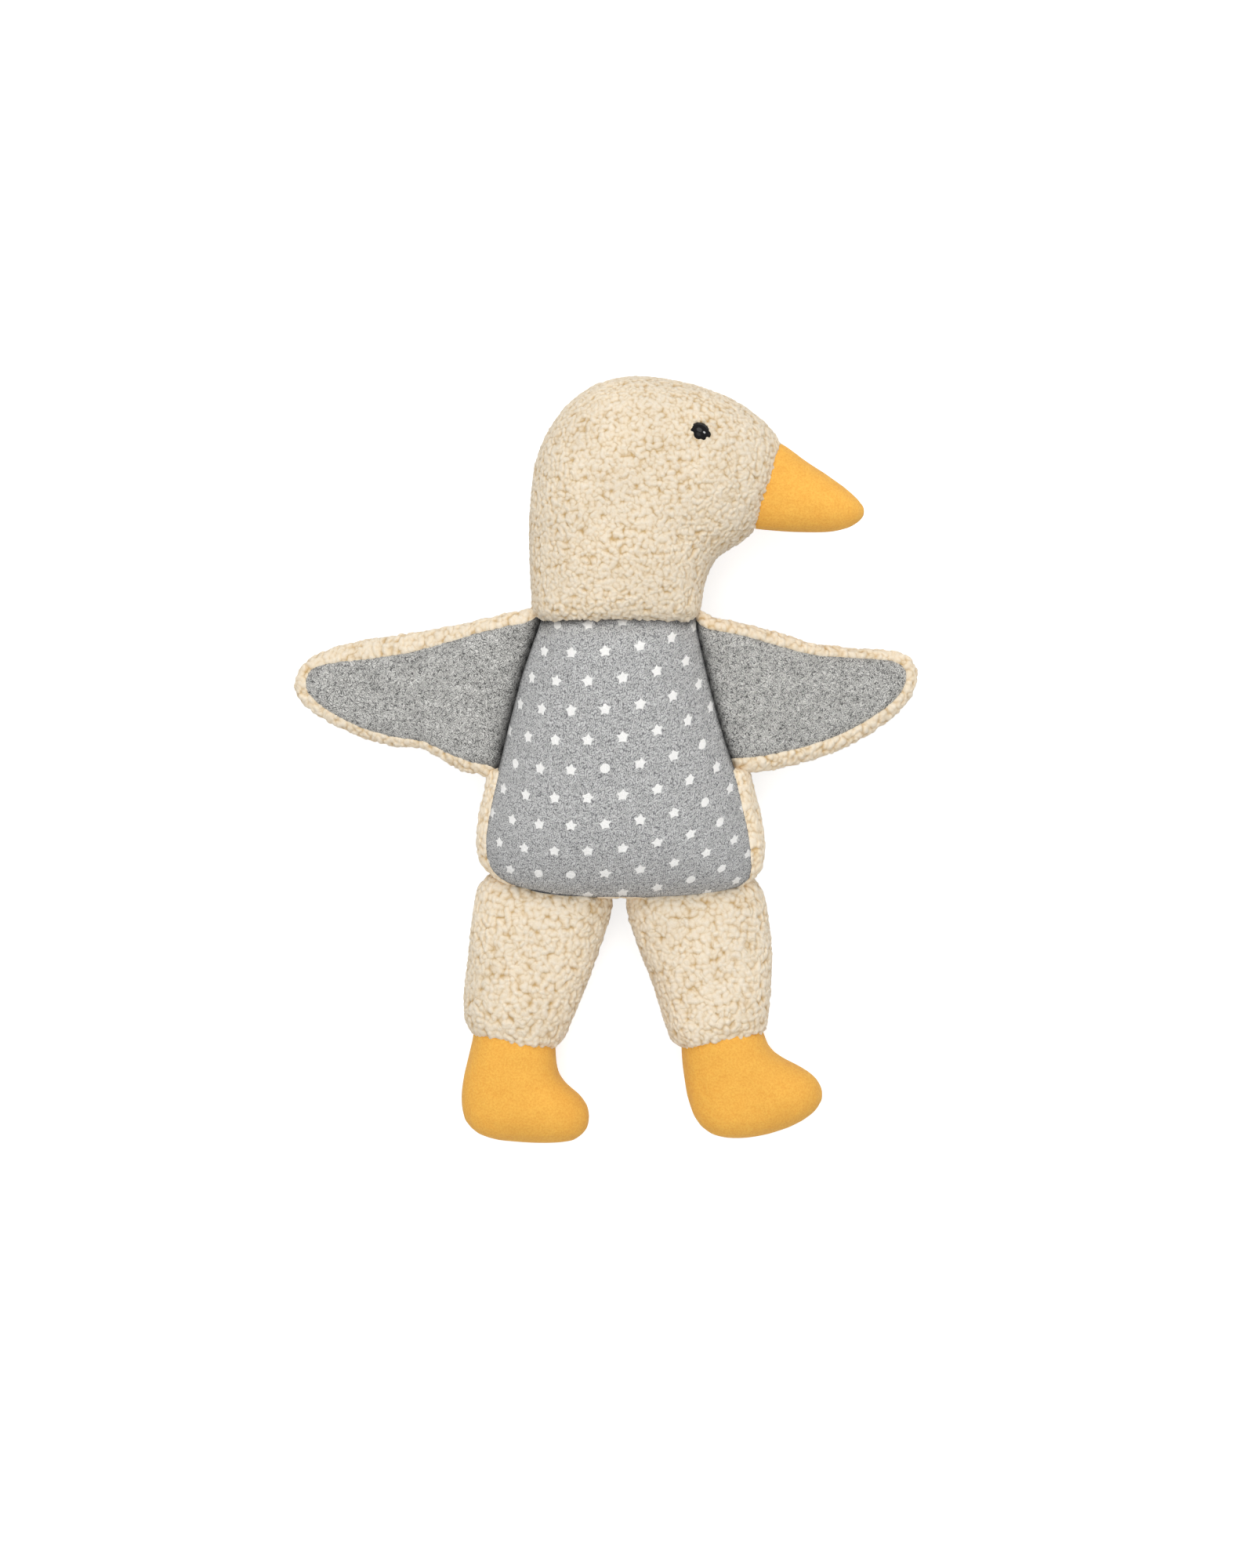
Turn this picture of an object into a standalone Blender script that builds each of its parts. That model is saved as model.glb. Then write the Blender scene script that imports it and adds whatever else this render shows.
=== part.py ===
"""Duck rag doll: a stuffed cloth duck about 35 cm tall, lying on its back.

The head is sewn in profile and looks to one side, the body faces the front, the wings are spread
and both feet point the same way. Every stuffed part is two pattern pieces sewn round their edge,
with a wad of stuffing between them. The front of the body has raised printed stars.

The pattern outlines are in millimetres, seen from the front. X runs across the doll to its left,
Y from feet to head and Z up from the floor. The origin lies on the floor under the middle of the
back. Left and right are the doll's own, so its left side is at +X.
"""

import math

import bmesh
import bpy
from mathutils import Matrix, Vector

MM = 0.001
SEAM_GAP = 0.3  # clearance between two pieces that are sewn or pressed together
STUFFING_GAP = 0.4

# Thickness of the cloths
CURLY_CLOTH = 3.0
FLEECE = 2.0
PRINTED_JERSEY = 1.5

# Each outline is a closed loop of pattern points. Where a part is sewn to the next one its outline
# runs on past the seam, and the seam plane trims it.
HEAD_OUTLINE = (
    (-39.5, 50), (-40.6, 66), (-41.5, 84), (-42, 104), (-41, 122), (-37.5, 140), (-27, 158.5),
    (-12, 169.8), (8, 174.2), (30, 171.8), (50, 164.5), (65, 154.5), (73.5, 144.5), (77, 130),
    (72.5, 114), (62, 105), (54, 98.5), (46, 93), (41.5, 86), (38.6, 76), (37.4, 64), (36.5, 50),
    (20, 40), (-2, 37), (-24, 40),
)
BEAK_OUTLINE = (
    (60, 147), (73.2, 143.6), (84, 135.8), (95, 128.6), (105, 121.2), (111, 115), (112, 110.5),
    (107.5, 106.2), (98, 103.2), (84, 102.9), (70.5, 103.6), (58, 105.5), (48, 114), (48, 134),
)
# The body's widest line, and the seam where the printed front meets the curly back, point for point
BODY_OUTLINE = (
    (-37, 84), (-39, 64), (-47.2, 37.8), (-54.4, 12.6), (-60.1, -9), (-64.6, -30), (-65, -42),
    (-61, -54), (-50, -62), (-30, -66), (0, -67), (32, -66), (52, -62.5), (63, -54), (66, -42),
    (64, -28), (59.8, -9), (53.6, 12.6), (44.6, 37.8), (36.8, 64), (34, 84), (0, 98),
)
FRONT_SEAM_OUTLINE = (
    (-33, 82), (-36.6, 62), (-44.6, 38), (-50.8, 14), (-55.6, -7), (-60.2, -29), (-61.4, -42),
    (-57.6, -51.6), (-47, -57), (-30, -62.4), (0, -63.6), (30, -63), (48, -60.4), (58.2, -54.4),
    (60, -43), (57.6, -29), (52.6, -8), (46.6, 10.4), (40.4, 34), (34.6, 60), (31, 82), (0, 94),
)
LEG_OUTLINES = {
    "right": (
        (-60, -54), (-65.5, -62), (-68.2, -79), (-70, -98), (-71.5, -113), (-69, -127), (-65, -142),
        (-56, -151), (-43, -153), (-32, -148), (-26, -136), (-22, -124), (-17.6, -112), (-12.2, -96),
        (-7.2, -81), (-3, -67), (-8, -56), (-34, -50),
    ),
    "left": (
        (8, -56), (2.6, -67), (7.8, -85), (13.7, -100), (18.4, -114), (22, -126), (29, -139),
        (40, -149), (52, -150), (62, -143), (66, -130), (67.8, -118), (69.2, -102), (69.2, -86),
        (67.6, -72), (65, -61), (59, -54), (34, -50),
    ),
}
FOOT_OUTLINES = {
    "right": (
        (-66, -114), (-67.3, -128), (-69.3, -139), (-71.4, -148), (-72.3, -158), (-69.8, -167.5),
        (-61.5, -174), (-48, -176.8), (-32, -177.6), (-21, -176), (-15.4, -170.5), (-14.4, -163),
        (-18, -156), (-25.4, -150), (-29.2, -143.5), (-30, -135), (-29.4, -124), (-34, -112),
        (-50, -107),
    ),
    "left": (
        (28, -118), (28, -134), (29.8, -147), (32, -158.5), (36.5, -168), (44.5, -173.3),
        (56, -174.2), (68, -172.2), (80, -168), (89, -162), (92.4, -155.5), (90.5, -148.5),
        (83.5, -143), (74.5, -138.5), (68.6, -133.5), (65.4, -124), (61, -113), (45, -108),
    ),
}
WING_OUTLINES = {
    "right": (
        (-30, 59), (-43.2, 60.2), (-61.6, 63.2), (-77, 59.8), (-96, 56.2), (-116.3, 53.1),
        (-133, 48.6), (-144.4, 42.5), (-148.7, 34), (-146.6, 26.5), (-135.7, 17.6), (-119, 9.4),
        (-105, 5.2), (-91.8, 4.2), (-84, 0.6), (-75, -5.4), (-65.2, -8.3), (-46, -6),
    ),
    "left": (
        (28, 58), (41, 60.2), (56, 60.4), (71.6, 56.9), (87.1, 51.8), (101, 49.8), (118, 48.6),
        (129.5, 46.4), (134.8, 41), (135, 33.5), (130.8, 25), (121.5, 15.6), (107, 6.4), (91, -0.4),
        (74, -4.8), (58, -7.2), (44, -6), (30, -4),
    ),
}
WING_PANEL_OUTLINES = {
    "right": (
        (-30, 55), (-43.4, 57), (-61.6, 56.6), (-77, 52.7), (-96, 47.4), (-116.3, 44.3),
        (-130, 42.8), (-140, 40.2), (-143.6, 34.2), (-141.4, 28), (-131.6, 20.2), (-117, 13.2),
        (-103, 9.2), (-90, 7.4), (-80, 2.6), (-71, -1.2), (-62, -3.2), (-46, -1),
    ),
    "left": (
        (28, 54), (41, 55.8), (56, 55.6), (70, 51.8), (87, 47.2), (101, 45.8), (118, 44.8),
        (126, 43.6), (131, 39.6), (131, 33.5), (126.8, 26.4), (117.6, 19), (104, 11.2), (89, 5.4),
        (73, 1.4), (58, -0.8), (44, 0), (30, 1),
    ),
}

# A stuffed form: its crown is a line seen from the front, towards which the cloth rises from the
# edge seam. Then come the height of that seam above the floor, how far the form swells in front of
# it, and the two powers of the curve from edge to crown. Behind the seam the form swells down to
# the floor, where its own weight flattens it.
HEAD = {"crown": ((2, 118), (14, 134)), "seam": 33, "swell": 33, "powers": (2.2, 2.2)}
# The back of the head stays just above the floor, as it rests on the bead of its lower eye
HEAD_DEPTH = 31.6
BEAK = {"crown": ((62, 126), (84, 117)), "seam": 33, "swell": 15.0, "powers": (1.9, 2.1)}
BODY = {"crown": ((0, 4), (0, -22)), "seam": 26, "swell": 36, "powers": (2.2, 2.2)}
LEGS = {
    "right": {"crown": ((-37, -78), (-46, -114)), "seam": 20, "swell": 21, "powers": (2.1, 2.2)},
    "left": {"crown": ((36, -78), (45, -114)), "seam": 20, "swell": 21, "powers": (2.1, 2.2)},
}
FEET = {
    "right": {"crown": ((-49, -128), (-44, -158)), "seam": 18, "swell": 18.5, "powers": (2.2, 2.2)},
    "left": {"crown": ((48, -130), (60, -157)), "seam": 18, "swell": 18.5, "powers": (2.2, 2.2)},
}
# The printed front starts this far along the line from the body's widest line to its crown.
FRONT_SEAM_SHARE = 0.92
FRONT_SEAM_HEIGHT = 41.5

# Shares of the outline, from the edge seam inwards, at which the swell is modelled
FRONT_SHARES = (1, 0.94, 0.8, 0.58, 0.3)
BACK_SHARES = (1, 0.93, 0.79, 0.58, 0.34)
SMALL_FRONT_SHARES = (1, 0.92, 0.7, 0.38)
SMALL_BACK_SHARES = (1, 0.92, 0.72)
BODY_FRONT_SHARES = (1, 0.86, 0.64, 0.36, 0.14)

# Seam planes: two points of the seam, seen from the front
NECK_SEAM = ((-40, 61), (40, 61))
BEAK_SEAM = ((73.4, 144.5), (60.4, 104.6))
ANKLE_SEAMS = {
    "right": ((-67.3, -128), (-29.2, -133.9)),
    "left": ((27.5, -133.8), (66, -126.5)),
}

EYE_PLACE = (36.2, 145.6)
EYE_RADIUS = 3.6
EYE_HEIGHT = 2.7

# A wing is thin and hangs from the front seam of the body down to the floor. Heights are from its
# own middle plane.
WING_CROWNS = {"right": ((-30, 31), (-126, 31)), "left": ((30, 30), (114, 29))}
WING_ROOT = 44.0
WING_ROOT_HEIGHT = 35.0
WING_REST = 132.0
WING_RIM_HEIGHT = 4.2
WING_BACK_DEPTH = 5.6
WING_FRONT_SWELL = 2.4

# The print: columns and rows of stars that follow the swell of the front and bow up at its sides
STAR_RADIUS = 2.6
STAR_INNER_SHARE = 0.48
STAR_RELIEF = 0.4
STAR_ROOT = 0.9
COLUMN_PITCH = 16.05
ROW_PITCH = 13.6
PRINT_MIDDLE_X = -1.5
PRINT_MIDDLE_Y = 14.8
PRINT_COLUMN_SHIFT = 0.33
PRINT_ROW_SHIFT = 2.5
PRINT_ROLL = 90.0
PRINT_WRAP = 1.1
PRINT_BOW = 0.76
PRINT_SLANT = 1.52
STAR_MARGIN = 3.4

CREAM = ("cream_curly_cloth", (0.81, 0.67, 0.47), 0.95)
ORANGE = ("orange_fleece", (0.93, 0.50, 0.10), 0.9)
GREY_FLEECE = ("grey_fleece", (0.42, 0.41, 0.40), 0.95)
GREY_JERSEY = ("grey_jersey", (0.43, 0.43, 0.42), 0.9)
STAR_WHITE = ("white_print", (0.87, 0.87, 0.87), 0.8)
STUFFING = ("white_stuffing", (0.85, 0.85, 0.82), 1.0)
EYE_BLACK = ("black_bead", (0.012, 0.010, 0.010), 0.15)


def clear_scene():
    for obj in list(bpy.data.objects):
        bpy.data.objects.remove(obj)


def make_collection(name):
    collection = bpy.data.collections.new(name)
    bpy.context.scene.collection.children.link(collection)
    return collection


def make_material(name, colour, roughness):
    material = bpy.data.materials.get(name)
    if material is None:
        material = bpy.data.materials.new(name)
        material.use_nodes = True
        shader = material.node_tree.nodes["Principled BSDF"]
        shader.inputs["Base Color"].default_value = (*colour, 1)
        shader.inputs["Roughness"].default_value = roughness
        shader.inputs["Metallic"].default_value = 0
    return material


def smooth_shade(mesh):
    mesh.shade_smooth()
    mesh.set_sharp_from_angle(angle=math.radians(50))


def make_object(name, bm, material, collection):
    """Turns a bmesh in millimetres into a named object in metres."""
    bmesh.ops.recalc_face_normals(bm, faces=bm.faces)
    bmesh.ops.scale(bm, vec=(MM, MM, MM), verts=bm.verts)
    mesh = bpy.data.meshes.new(name)
    bm.to_mesh(mesh)
    bm.free()
    smooth_shade(mesh)
    mesh.materials.append(make_material(*material))
    obj = bpy.data.objects.new(name, mesh)
    collection.objects.link(obj)
    return obj


def swell_share(share, powers):
    """How high the cloth stands at this share of the way from crown to edge, as a part of its swell."""
    across, up = powers
    return (1 - share**across) ** (1 / up)


def inset_outline(outline, depth):
    """The outline moved inwards by a depth, each point along its own normal."""
    turned = sum(
        a[0] * b[1] - a[1] * b[0] for a, b in zip(outline, outline[1:] + outline[:1])
    )
    side = math.copysign(1, turned)
    moved = []
    for index, point in enumerate(outline):
        before = Vector(outline[index - 1])
        after = Vector(outline[(index + 1) % len(outline)])
        along = (after - before).normalized()
        inwards = Vector((-along.y, along.x)) * side
        moved.append(tuple(Vector(point) + inwards * depth))
    return tuple(moved)


def nearest(point, line):
    """The point of a line's length that lies nearest."""
    start, end = Vector(line[0]), Vector(line[1])
    along = end - start
    return start + along * max(0, min(1, (point - start).dot(along) / along.length_squared))


def ring(outline, crown, share, height):
    """The outline drawn in towards the crown, at a height: one loop of a swelling form."""
    drawn = []
    for point in outline:
        middle = nearest(Vector(point), crown)
        drawn.append((*(middle + (Vector(point) - middle) * share), height))
    return [Vector(p) for p in drawn]


def front_rings(outline, form, cloth, shares, lift=0.0):
    """Loops from the edge seam to the crown in front, on a surface this much inside the cloth."""
    outline = inset_outline(outline, cloth) if cloth else outline
    swell = form["swell"] - cloth
    full = swell_share(shares[-1], form["powers"])
    return [
        ring(
            outline,
            form["crown"],
            share,
            form["seam"] + max(lift, swell * swell_share(share, form["powers"]) / full),
        )
        for share in shares
    ]


def back_rings(outline, form, cloth, shares, depth=None, lift=0.0):
    """Loops from the edge seam down to the flat that the form lies on."""
    outline = inset_outline(outline, cloth) if cloth else outline
    fall = (form["seam"] if depth is None else depth) - cloth
    full = swell_share(shares[-1], form["powers"])
    return [
        ring(
            outline,
            form["crown"],
            share,
            form["seam"] - max(lift, fall * swell_share(share, form["powers"]) / full),
        )
        for share in shares
    ]


def cap(bm, verts, strips):
    """Closes a loop: by one flat face, or by strips between its two sides where it is bent."""
    if not strips:
        bm.faces.new(verts)
        return
    for step in range(len(verts) // 2 - 1):
        bm.faces.new((verts[step], verts[step + 1], verts[-step - 2], verts[-step - 1]))


def loft(loops, strips=False):
    """A closed form through successive loops, capped on the first and on the last."""
    bm = bmesh.new()
    verts = [bm.verts.new(p) for p in loops[0]]
    edges = [bm.edges.new((verts[i - 1], verts[i])) for i in range(len(verts))]
    cap(bm, verts, strips)
    for points in loops[1:]:
        grown = bmesh.ops.extrude_edge_only(bm, edges=edges)["geom"]
        fresh = {item for item in grown if isinstance(item, bmesh.types.BMVert)}
        edges = [e for e in grown if isinstance(e, bmesh.types.BMEdge) and set(e.verts) <= fresh]
        links = [[e.other_vert(v) for e in v.link_edges] for v in verts]
        verts = [next(other for other in near if other in fresh) for near in links]
        for vert, point in zip(verts, points):
            vert.co = point
    cap(bm, verts, strips)
    return bm


def panel(outer, inner):
    """A cloth panel: its outer face from crown to edge, round the edge, and its inner face back."""
    return loft(list(reversed(outer)) + inner)


def trim(obj, cutters):
    for cutter in cutters:
        modifier = obj.modifiers.new("trim_" + cutter.name, "BOOLEAN")
        modifier.operation = "DIFFERENCE"
        modifier.object = cutter


def make_cutter(name, bm, cutters):
    obj = make_object(name, bm, CREAM, cutters)
    obj.hide_render = True
    obj.display_type = "WIRE"
    return obj


def seam_cutter(name, seam, side, cutters):
    """A block that fills one side of an upright seam plane, less half the seam's gap."""
    reach = 200.0
    start, end = Vector(seam[0]), Vector(seam[1])
    along = (end - start).normalized()
    away = Vector((-along.y, along.x)) * side
    middle = (start + end) / 2 + away * (reach / 2 - SEAM_GAP / 2)
    bm = bmesh.new()
    bmesh.ops.create_cube(bm, size=reach)
    turn = Matrix.Rotation(math.atan2(along.y, along.x), 4, "Z")
    bmesh.ops.transform(bm, matrix=Matrix.Translation((*middle, 0)) @ turn, verts=bm.verts)
    return make_cutter(name, bm, cutters)


def stuffed_part(names, outline, form, cloth, shares, doll, cutters, depth=None):
    """Two panels of one cloth and the wad between them, trimmed at the part's seams."""
    front_shares, back_shares = shares
    half_gap = SEAM_GAP / 2
    inside = cloth[1] + STUFFING_GAP
    front_name, back_name, stuffing_name = names
    front = panel(
        front_rings(outline, form, 0, front_shares, half_gap),
        front_rings(outline, form, cloth[1], front_shares, half_gap),
    )
    back = panel(
        back_rings(outline, form, 0, back_shares, depth, half_gap),
        back_rings(outline, form, cloth[1], back_shares, depth, half_gap),
    )
    wad = loft(
        list(reversed(front_rings(outline, form, inside, front_shares)))
        + back_rings(outline, form, inside, back_shares, depth)[1:]
    )
    made = [
        make_object(front_name, front, cloth[0], doll),
        make_object(back_name, back, cloth[0], doll),
        make_object(stuffing_name, wad, STUFFING, doll),
    ]
    for obj in made:
        trim(obj, cutters)
    return made


def body_rings(cloth):
    """Loops of the curly back, from the front seam round the sides and down to the floor."""
    front_edge = inset_outline(FRONT_SEAM_OUTLINE, cloth) if cloth else FRONT_SEAM_OUTLINE
    widest = inset_outline(BODY_OUTLINE, cloth) if cloth else BODY_OUTLINE
    shoulder = tuple(
        (0.3 * s[0] + 0.7 * w[0], 0.3 * s[1] + 0.7 * w[1]) for s, w in zip(front_edge, widest)
    )
    crown, seam = BODY["crown"], BODY["seam"]
    return [
        ring(front_edge, crown, 1, FRONT_SEAM_HEIGHT - SEAM_GAP / 2),
        ring(shoulder, crown, 1, seam + 0.62 * (FRONT_SEAM_HEIGHT - seam)),
        *back_rings(BODY_OUTLINE, BODY, cloth, BACK_SHARES),
    ]


def body_front_rings(cloth):
    """Loops of the printed front, from its seam to the crown of the belly."""
    outline = inset_outline(FRONT_SEAM_OUTLINE, cloth) if cloth else FRONT_SEAM_OUTLINE
    swell = BODY["seam"] + BODY["swell"] - FRONT_SEAM_HEIGHT - cloth
    start = swell_share(FRONT_SEAM_SHARE, BODY["powers"])
    full = swell_share(FRONT_SEAM_SHARE * BODY_FRONT_SHARES[-1], BODY["powers"])
    loops = []
    for share in BODY_FRONT_SHARES:
        here = swell_share(FRONT_SEAM_SHARE * share, BODY["powers"])
        rise = swell * (here - start) / (full - start)
        loops.append(ring(outline, BODY["crown"], share, FRONT_SEAM_HEIGHT + max(SEAM_GAP / 2, rise)))
    return loops


def body_form(grow):
    """The whole outside of the body, grown all round by a clearance, for trimming what it meets."""
    return loft(list(reversed(body_front_rings(-grow))) + body_rings(-grow)[1:])


def star_points(angle):
    """The ten corners of a five-pointed star."""
    corners = []
    for corner in range(10):
        reach = STAR_RADIUS * (1 if corner % 2 == 0 else STAR_INNER_SHARE)
        turn = angle + math.pi / 2 + corner * math.pi / 5
        corners.append(Vector((reach * math.cos(turn), reach * math.sin(turn), 0)))
    return corners


def star_place(column, row):
    """Where the cloth's print puts a star, seen from the front. The rows bow up to the sides."""
    shift = row - PRINT_ROW_SHIFT
    rise = PRINT_BOW * column**2 + PRINT_SLANT * column
    y = PRINT_MIDDLE_Y - PRINT_ROLL * math.sin(shift * ROW_PITCH / PRINT_ROLL) + rise
    top, bottom = Vector(FRONT_SEAM_OUTLINE[1]), Vector(FRONT_SEAM_OUTLINE[5])
    edge_x = top.x + (bottom.x - top.x) * (top.y - y) / (top.y - bottom.y)
    roll = PRINT_WRAP * (PRINT_MIDDLE_X - edge_x)
    across = (column - PRINT_COLUMN_SHIFT) * COLUMN_PITCH / roll
    if abs(across) > math.pi / 2:
        return None
    return PRINT_MIDDLE_X + roll * math.sin(across), y


def inside_outline(point, outline, margin):
    """True where the point lies inside the outline and at least a margin away from it."""
    inside = False
    p = Vector(point)
    for a, b in zip(outline, outline[1:] + outline[:1]):
        if (p - nearest(p, (a, b))).length < margin:
            return False
        if (a[1] > p.y) != (b[1] > p.y):
            if p.x < a[0] + (p.y - a[1]) * (b[0] - a[0]) / (b[1] - a[1]):
                inside = not inside
    return inside


def add_star(bm, place, normal):
    """One star as a low block that stands on the cloth, square to it."""
    turn = normal.to_track_quat("Z", "Y").to_matrix()
    bottom = [bm.verts.new(place + turn @ (p + Vector((0, 0, -STAR_ROOT)))) for p in star_points(0)]
    face = bm.faces.new(bottom)
    grown = bmesh.ops.extrude_face_region(bm, geom=[face])
    top = [v for v in grown["geom"] if isinstance(v, bmesh.types.BMVert)]
    bmesh.ops.translate(bm, vec=normal * (STAR_ROOT + STAR_RELIEF), verts=top)


def print_stars(front, cutters):
    """Joins the raised stars of the print to the printed front."""
    bm = bmesh.new()
    for row in range(-1, 11):
        for step in range(-6, 7):
            place = star_place(step + 0.5 * (row % 2), row)
            if place is None or place[1] > NECK_SEAM[0][1] - STAR_MARGIN:
                continue
            if not inside_outline(place, FRONT_SEAM_OUTLINE, STAR_MARGIN):
                continue
            above = Vector((place[0] * MM, place[1] * MM, 1))
            hit, spot, normal, _ = front.ray_cast(above, Vector((0, 0, -1)))
            if hit:
                add_star(bm, spot / MM, normal)
    stars = make_object("star_print", bm, STAR_WHITE, cutters)
    stars.hide_render = True
    stars.display_type = "WIRE"
    union = front.modifiers.new("print", "BOOLEAN")
    union.operation = "UNION"
    union.object = stars
    front.data.materials.append(make_material(*STAR_WHITE))


def make_body(doll, cutters, neck):
    front = make_object(
        "body_front_panel",
        panel(body_front_rings(0), body_front_rings(PRINTED_JERSEY)),
        GREY_JERSEY,
        doll,
    )
    print_stars(front, cutters)
    back = panel(body_rings(0), body_rings(CURLY_CLOTH))
    back = make_object("body_back_panel", back, CREAM, doll)
    inside = CURLY_CLOTH + STUFFING_GAP
    wad = make_object(
        "body_stuffing",
        loft(list(reversed(body_front_rings(inside))) + body_rings(inside)[1:]),
        STUFFING,
        doll,
    )
    for obj in (front, back, wad):
        trim(obj, [neck])


def make_eye(name, panel_object, from_above, doll):
    """A domed bead that lies on the cloth of one side of the head."""
    side = 1 if from_above else -1
    start = Vector((EYE_PLACE[0] * MM, EYE_PLACE[1] * MM, side))
    _, spot, normal, _ = panel_object.ray_cast(start, Vector((0, 0, -side)))
    bm = bmesh.new()
    bmesh.ops.create_uvsphere(bm, u_segments=16, v_segments=8, radius=EYE_RADIUS)
    bmesh.ops.bisect_plane(
        bm,
        geom=bm.verts[:] + bm.edges[:] + bm.faces[:],
        plane_co=(0, 0, 0),
        plane_no=(0, 0, -1),
        clear_outer=True,
    )
    rim = [edge for edge in bm.edges if edge.is_boundary]
    bmesh.ops.contextual_create(bm, geom=rim)
    bmesh.ops.scale(bm, vec=(1, 1, EYE_HEIGHT / EYE_RADIUS), verts=bm.verts)
    turn = normal.to_track_quat("Z", "Y").to_matrix().to_4x4()
    clear = spot / MM + normal * (2 * SEAM_GAP)
    bmesh.ops.transform(bm, matrix=Matrix.Translation(clear) @ turn, verts=bm.verts)
    make_object(name, bm, EYE_BLACK, doll)


def droop(x):
    """How high the middle of a wing stands: it bends down from the body and lies on the floor."""
    along = max(0, min(1, (abs(x) - WING_ROOT) / (WING_REST - WING_ROOT)))
    return WING_BACK_DEPTH + (WING_ROOT_HEIGHT - WING_BACK_DEPTH) * (1 - along**2 * (3 - 2 * along))


def wing_loop(side, outline, inset, share, height):
    outline = inset_outline(outline, inset) if inset else outline
    loop = ring(outline, WING_CROWNS[side], share, height)
    return [Vector((p.x, p.y, p.z + droop(p.x))) for p in loop]


def make_wing(side, doll, body_cutter):
    """A curly back rolled round the edge to the front, a grey front panel and thin padding."""
    rim, depth, cloth = WING_RIM_HEIGHT, WING_BACK_DEPTH, CURLY_CLOTH - 0.6
    back_edge, front_edge = WING_OUTLINES[side], WING_PANEL_OUTLINES[side]
    swell = rim + WING_FRONT_SWELL
    outer = [
        wing_loop(side, front_edge, 0, 1, rim),
        wing_loop(side, back_edge, 1.2, 1, rim * 0.7),
        wing_loop(side, back_edge, 0, 1, 0),
        wing_loop(side, back_edge, 1.2, 1, -depth * 0.7),
        wing_loop(side, back_edge, 4.5, 1, -depth),
        wing_loop(side, back_edge, 4.5, 0.4, -depth),
    ]
    inner = [
        wing_loop(side, front_edge, 0, 1, rim - cloth),
        wing_loop(side, back_edge, cloth, 1, 0),
        wing_loop(side, back_edge, 4.5, 0.98, cloth - depth),
        wing_loop(side, back_edge, 4.5, 0.4, cloth - depth),
    ]
    back = loft(list(reversed(outer)) + inner, strips=True)
    front = loft(
        [
            wing_loop(side, front_edge, SEAM_GAP, 0.4, swell),
            wing_loop(side, front_edge, SEAM_GAP, 0.75, rim + 0.75 * WING_FRONT_SWELL),
            wing_loop(side, front_edge, SEAM_GAP, 1, rim),
            wing_loop(side, front_edge, SEAM_GAP, 1, rim - FLEECE),
            wing_loop(side, front_edge, SEAM_GAP, 0.75, rim + 0.75 * WING_FRONT_SWELL - FLEECE),
            wing_loop(side, front_edge, SEAM_GAP, 0.4, swell - FLEECE),
        ],
        strips=True,
    )
    padding = loft(
        [
            wing_loop(side, front_edge, SEAM_GAP, 0.4, swell - FLEECE - STUFFING_GAP),
            wing_loop(side, front_edge, 1, 0.93, rim - cloth - STUFFING_GAP),
            wing_loop(side, back_edge, 6, 0.9, cloth - depth + STUFFING_GAP),
            wing_loop(side, back_edge, 6, 0.4, cloth - depth + STUFFING_GAP),
        ],
        strips=True,
    )
    for name, bm, material in (
        ("back_panel", back, CREAM),
        ("front_panel", front, GREY_FLEECE),
        ("padding", padding, STUFFING),
    ):
        trim(make_object(f"wing_{side}_{name}", bm, material, doll), [body_cutter])


def build():
    clear_scene()
    doll = make_collection("duck_rag_doll")
    cutters = make_collection("cutters")

    above_neck = seam_cutter("above_neck", NECK_SEAM, 1, cutters)
    below_neck = seam_cutter("below_neck", NECK_SEAM, -1, cutters)
    beyond_beak_seam = seam_cutter("beyond_beak_seam", BEAK_SEAM, 1, cutters)
    behind_beak_seam = seam_cutter("behind_beak_seam", BEAK_SEAM, -1, cutters)
    body_cutter = make_cutter("body_clearance", body_form(SEAM_GAP), cutters)

    make_body(doll, cutters, above_neck)
    head_front, head_back, _ = stuffed_part(
        ("head_right_panel", "head_left_panel", "head_stuffing"),
        HEAD_OUTLINE,
        HEAD,
        (CREAM, CURLY_CLOTH),
        (FRONT_SHARES, BACK_SHARES),
        doll,
        [below_neck, beyond_beak_seam],
        depth=HEAD_DEPTH,
    )
    stuffed_part(
        ("beak_right_panel", "beak_left_panel", "beak_stuffing"),
        BEAK_OUTLINE,
        BEAK,
        (ORANGE, FLEECE),
        (SMALL_FRONT_SHARES, SMALL_FRONT_SHARES),
        doll,
        [behind_beak_seam],
        depth=BEAK["swell"],
    )
    make_eye("eye_right", head_front, True, doll)
    make_eye("eye_left", head_back, False, doll)
    for side in ("left", "right"):
        below_ankle = seam_cutter(f"below_{side}_ankle", ANKLE_SEAMS[side], -1, cutters)
        above_ankle = seam_cutter(f"above_{side}_ankle", ANKLE_SEAMS[side], 1, cutters)
        stuffed_part(
            tuple(f"leg_{side}_{piece}" for piece in ("front_panel", "back_panel", "stuffing")),
            LEG_OUTLINES[side],
            LEGS[side],
            (CREAM, CURLY_CLOTH),
            (SMALL_FRONT_SHARES, SMALL_BACK_SHARES),
            doll,
            [below_ankle, body_cutter],
        )
        stuffed_part(
            tuple(f"foot_{side}_{piece}" for piece in ("front_panel", "back_panel", "stuffing")),
            FOOT_OUTLINES[side],
            FEET[side],
            (ORANGE, FLEECE),
            (SMALL_FRONT_SHARES, SMALL_BACK_SHARES),
            doll,
            [above_ankle],
        )
        make_wing(side, doll, body_cutter)


build()
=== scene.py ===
import math

import bmesh
import bpy
import numpy as np
from bpy.props import FloatProperty, FloatVectorProperty, PointerProperty
from bpy.types import Operator, Panel, PropertyGroup
from mathutils import Matrix, Vector
from mathutils.bvhtree import BVHTree
from mathutils.geometry import interpolate_bezier
from mathutils.noise import noise as noise_at


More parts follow.
